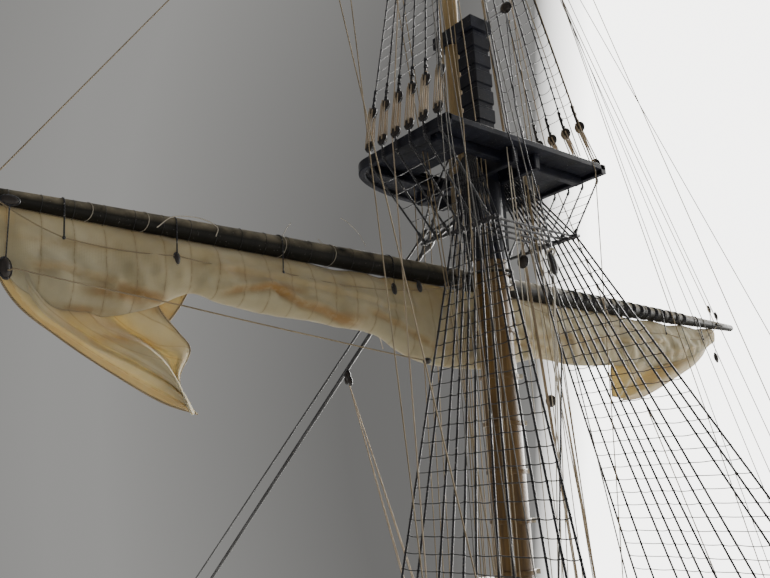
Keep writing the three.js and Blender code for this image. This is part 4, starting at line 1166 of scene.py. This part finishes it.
def crumple(u, v, seed=5):
    """Small uneven wrinkles: a sum of sine waves whose directions and starts are drawn with a seed."""
    draw = np.random.default_rng(seed)
    turns, starts = draw.uniform(0, np.pi, len(WRINKLES)), draw.uniform(0, 2 * np.pi, len(WRINKLES))
    return sum(size * np.sin(2 * np.pi / long * (np.cos(turn) * u + np.sin(turn) * v) + start)
               for (long, size), turn, start in zip(WRINKLES, turns, starts))


# %% Where the bunch hangs under the yard
YARD_X, YARD_Z, YARD_HALF, YARD_RADIUS, YARD_SLOPE = YARDS["main_yard"][2:]
BUNCH_LOW = np.array([  # y, and how low the bunch hangs there
    (184, -60), (179, -68), (170, -75.5), (162, -79), (154, -78.2), (147, -77), (138, -74), (132, -71.5),
    (127, -67.5), (121, -66.8), (116, -69), (104, -70.7), (91, -71.7), (78, -71.8), (66, -73.3), (55, -73.2),
    (48, -75.2), (41, -79.5), (34, -82.2), (26, -84), (10, -84.6), (-10, -84), (-24, -80), (-38, -77),
    (-60, -79), (-76, -78.4), (-90, -77), (-104, -77.5), (-125, -76), (-152, -72), (-172, -64), (-184, -58)])
BUNCH_SECTION = np.array([  # forwards, share of the way down, how ruffled: aft side first, then forward side
    (0.0, 0.0, 0.1), (-3.2, 0.16, 0.35), (-5.0, 0.42, 0.7), (-5.6, 0.66, 0.95), (-3.6, 0.9, 0.8),
    (0.4, 1.0, 0.4), (4.0, 0.9, 0.7), (5.6, 0.62, 0.9), (4.6, 0.3, 0.6), (2.6, 0.06, 0.2)])
BUNCH_END, BUNCH_ROWS, BUNCH_COLUMNS = 183.5, 60, 400
SLACK = ((70, 7, 1.0), (49, 4, 0.9), (12, 6, 0.5), (-112, 9, 1.0), (-140, 9, 1.3), (-166, 8, 1.2))
PINCHES = ((124, 4.5, 1.0), (48, 5, 0.7), (-91, 5, 0.7))  # these, and the slack: y, how wide, how deep
MAST_CLEAR = 8.3  # the cloth passes in front of the mast and its hoops at every angle of the yard
SHROUD_OUT, SHROUD_CLEAR = 37, 6.5  # and clear of the foremost shroud, that far out

stations = np.linspace(BUNCH_END, -BUNCH_END, BUNCH_COLUMNS)
low = np.interp(stations, *BUNCH_LOW[::-1].T)
low = np.convolve(np.pad(low, 5, "edge"), np.ones(11) / 11, "valid")
spar_foot = YARD_Z + YARD_SLOPE * stations - yard_radius(stations, YARD_HALF, YARD_RADIUS)
slack = sum(deep * bell(stations, at, wide) for at, wide, deep in SLACK)
head = spar_foot - 0.1 - 0.15 * np.abs(np.sin(np.pi * stations / CLOTH_WIDTH)) - slack
print("the bunch hangs", round(float((head - low).max()), 1), "mm deep at most")

# %% The long bunch
head_x = YARD_X + 0.6
section = smooth_net(np.repeat(BUNCH_SECTION[:, None], 2, 1), BUNCH_ROWS, 2)[:, 0]
forwards, downwards, ruffled = section[:, :1], section[:, 1:2], section[:, 2:3]
width = np.interp(np.abs(stations), [0, 150, 175, 184], [1, 1, 0.7, 0.25])
x, z = head_x + forwards * width, head + downwards * (low - head)
y = np.broadcast_to(stations[None], x.shape).copy()
push, bunch_stain_and_shade = creased(y, z)
aft_side = np.clip(-forwards / 3.0, 0, 1)
ripple = crumple(y, z) + 0.3 * np.sin(y * 0.31 + z * 0.22) + 0.22 * np.sin(y * 0.83 - z * 0.35 + 1.3)
pinch = sum(deep * bell(y, at, wide) for at, wide, deep in PINCHES)
x = x + ruffled * ripple + push * aft_side + (head_x - x) * 0.4 * pinch * ruffled
x = np.maximum(x, np.sqrt(np.clip(MAST_CLEAR ** 2 - y ** 2, 0, None)))
x = np.maximum(x, SHROUD_CLEAR - 0.8 * ((np.abs(y) - SHROUD_OUT) / 6) ** 2)
bunch = np.stack([x, y, z], -1)
course = Shape().add(*cloth(bunch, y, run_along(bunch, 0)))
# On the bunch, the stains and the painted crease shade lie only on the aft side.
stains_and_crease_shade, hems_and_shade = [(bunch_stain_and_shade * aft_side).ravel()], [np.zeros(y.size)]

# %% The lines of the hanging corners
PORT_CORNER = [  # the leech first, then its hem, then the folds in turn, each from the yard down to the clew
    [(14, 186, -57), (14, 176, -74.5), (14, 163, -84.4), (14, 147, -94), (14, 132, -101.7),
     (14, 120.3, -105)],
    [(12, 180, -58), (12, 171.5, -75.5), (12, 160.8, -84.3), (12, 146, -93), (12, 131, -100.3),
     (12.6, 121.3, -105.1)],
    [(11.2, 179, -59), (11.2, 170.3, -76), (11, 159.8, -84), (11.2, 145, -92.4), (11.6, 130.3, -99.7),
     (12.6, 121.3, -104.9)],
    [(9, 174.5, -66), (9, 170, -77), (9, 157, -86.2), (9, 143.5, -92), (9.5, 130, -98.6),
     (12.4, 121.6, -104.8)],
    [(11, 171, -66), (10.8, 165, -77.5), (10, 154.5, -85), (9.5, 142, -91), (9.8, 129.5, -97.8),
     (12.3, 121.9, -104.8)],
    [(10.5, 167, -68), (9.6, 158, -80.5), (6.4, 147, -87.5), (5.3, 137.5, -92.5), (6.8, 129, -98.8),
     (12, 122.3, -104.9)],
    [(10.5, 160, -71), (9.5, 152.5, -82.2), (6.2, 141.5, -87.2), (5, 134.9, -92.5), (5, 129.5, -100),
     (9, 124.3, -105.9)],
    [(11, 159.5, -70), (10, 152, -81), (7.2, 141, -86), (6, 134.2, -91.6), (6.5, 129.3, -98.2),
     (11, 124, -105)],
    [(14, 154, -70), (13.5, 147, -79), (13, 138.5, -84), (13, 131.5, -89), (12.6, 128.3, -95.5),
     (12.4, 124.6, -103)],
    [(12, 147, -72), (12, 141.5, -79.3), (12, 134.5, -84.6), (11.6, 127.5, -87.6), (12, 127.8, -94),
     (13, 124.8, -101.5)],
    [(14, 136, -68), (14, 132.5, -74.4), (14, 127.2, -80), (14, 123.2, -85.2), (14, 126.5, -94),
     (13.6, 124.5, -102)]]
PORT_FLAP = [
    [(15.5, 140, -66), (15.5, 137, -72), (15, 133.5, -77)],
    [(15, 132, -65), (15, 130.5, -71), (15, 131.5, -77.6)],
    [(15.5, 122.5, -64), (15.5, 126, -71), (15, 130.8, -78)]]
STARBOARD_CORNER = [
    [(14, -183, -56.5), (14, -172, -67.5), (14, -152, -77), (14, -117, -90.2), (14, -97, -93.4)],
    [(11.5, -178, -57), (10.5, -165, -69), (10, -147, -77.5), (10.5, -117, -88.2), (12.5, -96, -93)],
    [(8.5, -170, -58), (7.5, -155, -69), (7, -138, -76), (8.5, -112, -86.6), (12, -94.6, -93)],
    [(12, -150, -60), (12, -136, -70), (12.5, -122, -77), (13, -106, -84.5), (13, -93.4, -92.8)],
    [(8, -128, -62), (8, -114, -71), (8.5, -106, -77), (9.5, -98, -84.5), (12, -91.4, -92.5)],
    [(14, -104, -62), (14, -97, -71), (14, -92, -77), (14, -90.4, -85), (14, -90.2, -92)]]
CORNERS = ((PORT_CORNER, 100, 60), (PORT_FLAP, 14, 16), (STARBOARD_CORNER, 60, 44))  # lines, rows and columns

# %% The hanging corners as cloth
HEM, NARROW_HEM, HEM_FADE = 2.6, 1.2, 0.3
edges = []
for corner, rows, columns in CORNERS:
    fold = smooth_net(corner, rows, columns)
    span, fall = run_along(fold, 0), run_along(fold, 1)
    inner = np.sin(np.linspace(0, np.pi, rows))[:, None] * np.sin(np.linspace(0, np.pi, columns))[None]
    fold[..., 0] += 0.55 * crumple(fall, span * 0.5, 8) * inner
    edges += [fold[0], fold[-1]] if corner is not PORT_FLAP else [fold[-1]]
    course.add(*cloth(fold, span + fold[0, 0, 1], fall))
    # Stains and painted shade in the corners' creases and hollows, at 0.6 strength.
    _, stain = creased(fold[..., 1], fold[..., 2])
    stains_and_crease_shade.append((0.6 * stain).ravel())
    # Hem bands along the leech and the far edge: double cloth, darkened partly as painted shade.
    near_leech = np.clip((HEM - span) / HEM_FADE, 0, 1)
    near_far_edge = np.clip((span - span[-1] + NARROW_HEM) / HEM_FADE, 0, 1)
    hems_and_shade.append(np.maximum(near_leech, near_far_edge * 0.6).ravel())

# %% One sail from the bunch and its corners
CLOTH_THICK, CUT_WIDTH, CUT_DEPTH = 0.28, 0.368, 0.12
sail = course.piece("hauled_up_course", "main_yard", sail_cotton, "sailcloth", ["main_course"], 180)
for name, values in (("stain", stains_and_crease_shade), ("hem", hems_and_shade)):
    stored = sail.data.attributes.new(name, "FLOAT", "POINT")
    stored.data.foreach_set("value", np.clip(np.concatenate(values), 0, 1))
thickness = sail.modifiers.new("cloth", "SOLIDIFY")
thickness.thickness, thickness.offset = CLOTH_THICK * MM, 0.0

# %% [markdown]
# ## Thread on the sail and its yard
#
# A bolt rope is sewn round the sail's edge, and short turns of thread tie its head to the yard.
# The starboard arm is wound with dark gaskets, and loose ends curl up from the port arm. Each turn
# is a circle round the spar at that place, so it hugs the wood where the yard tapers.

# %% Bolt ropes and robands
edging, ties = Shape(), Shape()
for edge in edges:
    edging.take(*rope(edge, 0.36, 6))
edging.take(*rope(bunch[0, ::3], 0.3, 6))
edging.piece("sail_bolt_rope", "main_yard", tan_rope, "sailcloth")
ring = loop((0, 0, 0), 1.0, steps=16)


def round_yard(y, clear, shift=0.0, slant=0.0):
    """A turn of thread round the main yard at y, clear of the wood, shifted and slanted along it."""
    r = float(yard_radius(y, YARD_HALF, YARD_RADIUS)) + clear
    return np.column_stack([YARD_X + ring[:, 0] * r, y + shift + slant * ring[:, 0],
                            YARD_Z + YARD_SLOPE * y + ring[:, 1] * r])


for y_tie in np.arange(-180, 181, CLOTH_WIDTH):
    hug = round_yard(y_tie, 0.06)
    hug[:, 2] -= np.clip(-ring[:, 1], 0, 1) ** 3 * 0.5
    if abs(y_tie) > MAST_CLEAR:
        ties.take(*rope(hug, 0.09, 4, closed=True, beside=(0, 1, 0)))
ties.piece("robands", "main_yard", ratline_thread, "sailcloth")

# %% Gaskets on the starboard arm, and loose ends on the port arm
gaskets, loose_ends = Shape(), Shape()
for y_turn in np.arange(-152, -62, 6.4):
    wrap = np.array([round_yard(y_turn, 0.12, shift) for shift in (-0.9, -0.3, 0.3, 0.9)])
    gaskets.take(*rope(wrap, 0.24, 5, closed=True, beside=(0, 1, 0)))
gaskets.piece("starboard_gaskets", "main_yard", tarred_rope, "sailcloth")
THREAD_OVER = np.array([(7.4, 137.6, -49.3), (8.6, 131.8, -44.4), (9, 122.6, -43.2), (7.6, 117.3, -45.6),
                        (7, 118, -49.1)])
CURLS = (  # y and z along each loose end, before it is lifted onto the yard
    ((54.4, -42.7), (57.0, -38.8), (59.7, -36.5), (62.6, -34.6), (65.5, -33.6)),
    ((92.5, -47.4), (90.4, -44.6), (88.9, -41.6), (87.1, -39.3)),
    ((69.5, -50.4), (71.7, -48.4), (73.6, -45.3), (75.9, -43.4)))
CURL_LIFT = 1.4
loose_ends.take(*rope(smooth_net(THREAD_OVER[:, None].repeat(2, 1), 24, 2)[:, 0], 0.16, 5))
for curl in CURLS:
    ys, zs = np.array(curl).T
    curled = np.column_stack([np.full(len(ys), YARD_X), ys, zs + CURL_LIFT + 0.3 * YARD_SLOPE * ys])
    loose_ends.take(*rope(curled, 0.12, 4))
for y_turn in (72.0, 92.5, 141.0, 158.0):
    loose_ends.take(*rope(round_yard(y_turn, 0.12, slant=1.2), 0.1, 4, closed=True, beside=(0, 1, 0)))
loose_ends.piece("loose_ends", "main_yard", pale_rope, "sailcloth")

# %% The leechline that comes in over the bunch
leech_line = Shape()
LEECH_LINE = ((6.6, 180.4, -69.0), (5.0, 177.9, -68.6), (4.6, 130.7, -73.6), (4.6, 77.4, -79.7),
              (4.6, 34.2, -84.2))
for a, b in zip(LEECH_LINE[:-1], LEECH_LINE[1:]):
    leech_line.take(*rope(straight(a, b, 24, 0.15), 0.24, 6))
leech_line.piece("leechline", "main_yard", tan_rope, "sailcloth")

# %% Stirrups and footropes on all four yards
FOOTROPES = {  # how far the footrope hangs below the yard's middle, and where the stirrups grip the yard
    "main_yard": (10.4, (165, 131, 93, 45)), "topsail_yard": (8.5, (112, 78, 40)),
    "topgallant_yard": (6.5, (70, 36)), "royal_yard": (5.5, (45,))}
over_yard = np.linspace(0.2, np.pi, 7)
for name, (drop, grips) in FOOTROPES.items():
    _, _, x, z, half, radius, slope = YARDS[name]
    stirrups, footropes = Shape(), Shape()
    for side in (-1, 1):
        hangs = np.array(grips) * side
        eyes_at = np.column_stack([np.full(len(grips), x - radius), hangs, z - drop + slope * hangs])
        for eye in eyes_at:
            clear = float(yard_radius(eye[1], half, radius)) + 0.2
            over = np.column_stack([x + clear * np.cos(over_yard), np.full(len(over_yard), eye[1]),
                                    z + slope * eye[1] + clear * np.sin(over_yard)])
            stirrups.take(*rope(np.concatenate([over, [eye]]), 0.05 * radius + 0.05, 6))
            stirrups.add(*copies(bead((0.13 * radius, 0.13 * radius, 0.15 * radius), 5, 8), [eye]))
        outer_end = (x - 0.4 * radius, side * half * 0.915, z + slope * side * half)
        inner_end = (x - radius, side * half * 0.045, z - 0.7 * radius)
        stops = np.concatenate([[outer_end], eyes_at, [inner_end]])
        for a, b in zip(stops[:-1], stops[1:]):
            footropes.take(*rope(straight(a, b, 12, 0.005 * half), 0.04 * radius + 0.04, 5))
    stirrups.piece(f"{name}_stirrups", name, tarred_rope, "tarred_rope")
    footropes.piece(f"{name}_footropes", name, tan_rope, "tarred_rope")

# %% [markdown]
# ## Running rigging
#
# Tan lines lift, turn and haul the yards and sails. Those that end on the mast itself are shown: lifts from
# the caps to the yardarms, backstays down to the channels, and the falls that come down beside the mast to
# the bitts. A line between the mast and a yard belongs to no body.

# %% Lines whose two ends are on the mast
DECK, PLANK_Z, CHANNEL_EDGE = -262.0, -284.0, 92


def led(*stops, radius=0.22, sides=5, steps=24):
    """A taut line through its stops, with points between them for its twist."""
    stops = np.asarray(stops, float)
    legs = [straight(a, b, steps)[:-1] for a, b in zip(stops[:-1], stops[1:])]
    return rope(np.concatenate([*legs, stops[-1:]]), radius, sides)


def both_sides(runs, **how):
    """The same taut lines to port and, mirrored, to starboard."""
    shape = Shape()
    for side in (-1, 1):
        for stops in runs:
            shape.take(*led(*sided(stops, side), **how))
    return shape


at_hounds = lambda y: (12.6, y, TOPMAST_HOUNDS)
on_channel = lambda x: (x, CHANNEL_EDGE, PLANK_Z)
FALLS = [(at_hounds(13.2), (-28.1, 37.9, -4.2), (-20, 30, DECK)), (at_hounds(6.1), (-27, 30.2, 0.8)),
         (at_hounds(0.6), (-24.6, 30, DECK))]
for i in range(3):
    FALLS += [((-10 - 1.3 * i, 13.5 - i, -4), (-25, 26.9 - 1.6 * i, DECK)),
              (at_hounds(7.3 + 0.5 * i), (-11.8 - 1.2 * i, 30 - 0.8 * i, DECK)),
              ((25 + i, 9 + 3 * i, -2.4), (25, 10 + 3 * i, DECK))]
BACKSTAYS = [(at_hounds(14.1), (1.0, 47.4, 0.5), on_channel(-62))]
THIN_BACKSTAYS = [((11, 21.5, 231), on_channel(-91)), ((16, 22, 231), on_channel(-100)),
                  ((4, 20, 231), on_channel(-76)), ((14, 22, 231), on_channel(-108)),
                  (at_hounds(7), on_channel(-140))]
both_sides(FALLS).piece("falls", "mast", tan_rope, "tarred_rope")
both_sides(BACKSTAYS, radius=0.26).piece("backstays", "mast", lanyard_rope, "tarred_rope")
both_sides(THIN_BACKSTAYS, radius=0.17, steps=60).piece("thin_backstays", "mast", grey_rope, "tarred_rope")

# %% Two dark halyards that come down over the top's aft edge, and their pale falls
LONG_HALYARD = ((-6, -2.1, 66.1), (-17, 5.7, 30.5), (-28.2, 15.3, 1.4), (-31, 15.5, -7.7), (-35, 17.3, -26.6),
                (-42, 21.7, -53.4), (-52, 25, -90), (-25, 22, DECK))
SHORT_HALYARD = ((-6, -16.5, 74.9), (-24, 3.9, 14.9), (-28.2, 7.3, 4.8), (-32, 8.4, -12.5), (-36, 9, -29.2),
                 (-43, 14, -48.3), (-45.3, 16.6, -52.6))
BLOCK_AT = np.array((-45.4, 17, -57.2))
TAILS = (((-17.2, -10, -6), -12), ((-17.2, 2, -6), -3), ((-22.6, 9.5, -3), 6), ((-11.7, -11, -4), -9))
halyards, tails = Shape(), Shape()
halyards.take(*led(*LONG_HALYARD, radius=0.3, sides=6), *led(*SHORT_HALYARD, radius=0.3, sides=6))
for foot_y in (18, 14, 8):
    tails.take(*led(BLOCK_AT - (0, 0, 4), (-25, foot_y, DECK), radius=0.2))
for under_top, foot_y in TAILS:
    tails.take(*led(under_top, (-25, foot_y, DECK), radius=0.2, steps=50))
tails.take(*rope(loop(BLOCK_AT + (0, 0, 4.2), 1.3, FLAT_WAY, 16), 0.4, 6, closed=True, beside=(0, 1, 0)))
halyards.piece("dark_halyards", "mast", tarred_rope, "tarred_rope")
tails.piece("halyard_falls", "mast", pale_rope, "tarred_rope")

# %% Tackle that hangs from the main stay
TACKLE_AT = np.array((100.9, 0, -74.8))
TACKLE_BLOCKS = ((TACKLE_AT, 5.4, (0.3, 0, 1)), ((98.2, 0.8, -77.6), 4.4, (0.4, 0, 1)),
                 ((103.2, -0.8, -76.4), 4.2, (0.2, 0, 1)))  # place, length, the way its long side points
tackle = Shape()
for foot_y in (2.5, 1.0, -8.0, -9.5):
    tackle.take(*led(TACKLE_AT - (0, 0, 2.4), (25, foot_y, DECK), radius=0.24, steps=50))
tackle.take(*led((77, 0.4, -54.6), (76, 0.6, -58), (73.6, 0.3, -61.5), (72.4, 0, -66.1), radius=0.2, steps=6))
tackle.piece("stay_tackle_falls", "mast", lanyard_rope, "tarred_rope")
for place, length, way in TACKLE_BLOCKS:
    hang_block(place, length, length * 0.7, length * 0.5, way)
strops.take(*led((102.4, 0, -71.6), (101.2, 0, -73.2), radius=0.5, steps=4))

# %% [markdown]
# ## Lines between the mast and a yard
#
# A line from the mast to a yard has one end on each, so it can ride on neither alone. It belongs to no body,
# and stays where it is drawn.

# %% Lines between the mast and the topsail yard
TOPSAIL_LINES = (((19, 43.9, 205), (-25, 20.7, DECK)), ((19, 37.9, 205), (-25, 22.8, DECK)),
                 ((19.9, 63.2, 200), on_channel(-71)), ((19.9, 87.2, 196), on_channel(-109)))
made = both_sides(TOPSAIL_LINES, steps=60).piece("topsail_yard_lines", None, tan_rope, "tarred_rope")
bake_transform(made)

# %% Lifts from the caps to the yardarms
LIFTS = {  # where the lifts leave the mast, the share of the yard's half length they go to, their radius
    "main_yard": ((8.2, 4.0, TOPMAST_HOUNDS), 0.915, 0.24), "topsail_yard": ((17.4, 2.6, 262.0), 0.92, 0.2),
    "topgallant_yard": ((17.4, 1.6, 352.0), 0.92, 0.15), "royal_yard": ((17.4, 1.0, 430.0), 0.92, 0.12)}
for name, ((head_x, head_y, head_z), share, thick) in LIFTS.items():
    _, _, x, z, half, radius, slope = YARDS[name]
    lifts = Shape()
    for side in (-1, 1):
        arm_y = side * half * share
        arm = (x, arm_y, z + slope * arm_y + float(yard_radius(arm_y, half, radius)) + 0.1)
        lifts.take(*led((head_x, side * head_y, head_z), arm, radius=thick, steps=60))
    made = lifts.piece(f"{name}_lifts", None, tan_rope if name == "main_yard" else tarred_rope, "tarred_rope")
    RIM + z * MM
    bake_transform(made)

# %% [markdown]
# ## Blocks
#
# A rope changes its way in a block, a wooden shell round a wheel. At this size the wheel is hidden,
# so each is a stretched ball with its strop laid round it, turned the way its rope pulls.

# %% Blocks on the main yard
ARM_BLOCKS = (  # place, length, the way its long side points
    ((6, 33.5, -55.5), 4.0, (0.1, 0.1, 1)), ((7, 179.9, -68.2), 6.0, (0.1, 0.1, 1)),
    ((7, 179.9, -48.8), 4.8, (0.3, 1, 0.2)), ((14.3, -188, -39.5), 4.4, (0.1, 0.1, 1)),
    ((13, -192, -43.1), 4.4, (0.1, 0.1, 1)), ((15.4, -190, -66.4), 5.4, (0.1, 0.1, 1)),
    ((7.2, 131, -58.5), 4.0, (0.1, 0.1, 1)), ((7.2, 45, -57.5), 4.0, (0.1, 0.1, 1)),
    ((4.6, 33.0, -84.3), 3.6, (0, 1, -0.1)))
PENDANTS = (  # the short ropes that they hang by: from, to and radius
    ((13.5, -186.5, -46), (14.3, -188, -37.3), 0.2), ((14.8, -190, -47), (15.4, -190, -63.8), 0.12),
    ((7, 179.9, -49), (7, 179.9, -65.4), 0.2), ((9, 33.5, -52), (6, 33.5, -53.6), 0.2))
arm_sheaves, arm_strops = Shape(), Shape()
for place, size, way in ARM_BLOCKS:
    hang_block(place, size, size * 0.55, size * 0.42, way, (1, 0.1, 0.1), arm_sheaves, arm_strops)
for start, end, radius in PENDANTS:
    arm_strops.take(*led(start, end, radius=radius))
arm_sheaves.piece("yard_blocks", "main_yard", block_wood, "black_paint")
arm_strops.piece("yard_strops", "main_yard", tarred_rope, "tarred_rope")

# %% Blocks on the mast, under the top and at the staves
MAST_BLOCKS = (  # place, length, width, thickness, the ways its long and its flat side point
    (BLOCK_AT, 8.4, 4.4, 3.2, (0.1, 0.2, 1), (1, 1, 0)),
    ((-20, 3.1, -47.9), 4.8, 4.6, 3.4, (1, 0, 0.3), (0, 1, 0)),
    ((9.1, -40, -96.2), 5.0, 4.6, 3.6, (1, 0, 0.2), (0, 1, 0)),
    ((-6, -16.7, 77.1), 5.4, 4.6, 3.6, (1, 0.2, 0.4), (0, 1, 0)))
for block in MAST_BLOCKS:
    hang_block(*block)
strops.take(*led((-4.2, -15.5, 75.6), (-1.5, -5.5, 67.5), radius=0.3))
sheaves.piece("mast_blocks", "mast", block_wood, "black_paint")
strops.piece("mast_strops", "mast", tarred_rope, "tarred_rope")

# %% [markdown]
# ## Clasps
#
# Each hoop of the lower mast is closed by a small clasp, pale as a painted highlight on the hoops at the
# mast's edge towards the side light. It is a flat outline beside the hoop, raised to the hoop's height.

# %% Clasps that close the mast's hoops, pale as a painted highlight
# The clasps stand at the mast's edge towards the side light, where the hoops would catch a highlight.
CLASP_TURN = math.radians(233)
CLASP_IN, CLASP_OUT, CLASP_HALF = -0.6, 1.3, 1.25
outwards = np.array((math.cos(CLASP_TURN), math.sin(CLASP_TURN)))
sideways = np.array((-math.sin(CLASP_TURN), math.cos(CLASP_TURN)))
highlight_clasps = Shape()
for height in hoop_heights:
    r = float(mast_radius(height)) + HOOP_PROUD
    corners = [outwards * (r + out) + sideways * wide for out, wide in (
        (CLASP_IN, -CLASP_HALF), (CLASP_OUT, -CLASP_HALF), (CLASP_OUT, CLASP_HALF), (CLASP_IN, CLASP_HALF))]
    highlight_clasps.take(*prism(corners, height - HOOP_HALF, height + HOOP_HALF))
highlight_clasps.piece("hoop_clasps_painted_highlight", "mast", clasp_painted_highlight_wood, "varnished_mast")

# %% [markdown]
# ## Caps, crosstrees, partners and bitts
#
# These pieces are sawn from thick plank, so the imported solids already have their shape. Only their
# edges are too sharp: a copy of each is welded and gets a small bevel, which catches the light.

# %% Rounded copies of the sawn pieces
SAWN = {  # finish, slot, and the bevel's width
    "lower_cap": (black_paint, "black_paint", 0.4), "topmast_cap": (black_paint, "black_paint", 0.25),
    "topmast_crosstrees": (black_paint, "black_paint", 0.15), "mast_partners": (deck_wood, "deck_wood", 0.4),
    "fore_bitts": (deck_wood, "deck_wood", 0.3), "aft_bitts": (deck_wood, "deck_wood", 0.3)}
for node, (finish, slot, round_by) in SAWN.items():
    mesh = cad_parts[node].data.copy()
    mesh.name = f"sawn_{node}"
    work = bmesh.new()
    work.from_mesh(mesh)
    bmesh.ops.remove_doubles(work, verts=work.verts, dist=1e-6)
    bmesh.ops.dissolve_limit(work, angle_limit=math.radians(1), verts=work.verts, edges=work.edges)
    work.to_mesh(mesh)
    work.free()
    mesh.materials.clear()
    mesh.materials.append(finish.material)
    made = bpy.data.objects.new(f"sawn_{node}", mesh)
    bpy.context.scene.collection.objects.link(made)
    edge = made.modifiers.new("rounded_edges", "BEVEL")
    edge.width, edge.segments = round_by * MM, 2
    edge.limit_method, edge.angle_limit = "ANGLE", math.radians(40)
    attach(made, "mast")
    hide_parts(node)
print("rounded:", sorted(SAWN))

# %% Belaying pins on the bitts
PIN_ROWS = np.array([(-3.4, 0.35), (-3.0, 0.5), (1.6, 0.55), (1.9, 0.85), (3.2, 0.95), (4.6, 0.7),
                     (5.0, 0.35)])
PIN_SLIM = 0.7
pins = Shape()
for bitt_x in (-25, 25):
    for pin_y in (-9, -4.5, 0, 4.5, 9):
        pins.take(*turned(PIN_ROWS * (1, PIN_SLIM) + (DECK, 0), 10, (bitt_x, pin_y, 0)))
pins.piece("belaying_pins", "mast", block_wood, "deck_wood")

# %% [markdown]
# ## Topgallant shrouds and the sling
#
# High up, three thin shrouds a side spread over the arms of the topmast's crosstrees, with their
# own ratlines. The main yard hangs in a sling of two legs that meet above its middle.

# %% Topgallant shrouds
ARMS = ((12.6, 23), (1.5, 23), (-6.5, 21))  # forwards, and how far out each crosstree reaches
for name, side in SIDES:
    gang = Shape()
    starts = np.array([(TOPGALLANT_X - 0.7 * i, side * 2.3, 353.0) for i in range(3)])
    ends = np.array([(x, side * (half - 0.6), AT_TREES) for x, half in ARMS])
    gang.take(*rope(strung(starts, ends), 0.27, 6))
    gang.take(*bands(starts, ends, (1.5, 4.5), 0.5, 1.0), *bands(ends, starts, (3.0,), 0.5, 1.4))
    lowest = 351.9 if side > 0 else 352.3
    turns = np.array([loop((TOPGALLANT_X, 0, lowest + 0.8 * i), 2.1, steps=14) for i in range(3)])
    gang.take(*rope(turns, 0.26, 5, closed=True, beside=(0, 0, 1)))
    rows, ties = ratlines(starts, ends, np.arange(240, 330, STEP), 0.2, 4, 31)
    gang.take(*rope(rows, 0.11, 4))
    gang.piece(f"{name}_topgallant_gang", "mast", tarred_rope, "tarred_rope", [f"{name}_topgallant_shrouds"])

# %% Sling of the main yard
sling = Shape()
foot = np.array((YARD_X, 0, YARD_Z + YARD_RADIUS + 1.2))
for side in (-1, 1):
    head = np.array((YARD_X, side * TREE_MIDDLE, TREE_FOOT - 0.6))
    sling.take(*rope(straight(head, foot, 20), 0.6, 8), *bands(head[None], foot[None], (2.0, 4.5), 0.85, 1.4))
sling.take(*turned([(-0.8, 0.7), (-0.5, 1.1), (0.5, 1.1), (0.8, 0.7)], 16, foot + (0, 0, 0.2), "y"))
sling.piece("yard_sling", "mast", tarred_rope, "tarred_rope", ["main_yard_sling"])

# %% [markdown]
# ## Floor
#
# The floor lies under the heel and the chain plates, and isn't part of the mast.

# %% Floor
FLOOR_HALF = 1.0
floor_mesh = bpy.data.meshes.new("studio_floor")
floor_corners = [(FLOOR_HALF * x, FLOOR_HALF * y, 0) for x, y in ((-1, -1), (1, -1), (1, 1), (-1, 1))]
floor_mesh.from_pydata(floor_corners, [], [(0, 1, 2, 3)])
floor = bpy.data.objects.new("studio_floor", floor_mesh)
bpy.context.scene.collection.objects.link(floor)
pale = Finish("pale_floor", Base_Color=(0.72, 0.71, 0.68), Roughness=0.9)
floor_mesh.materials.append(pale.material)
print("the floor is", 2 * FLOOR_HALF, "m wide")
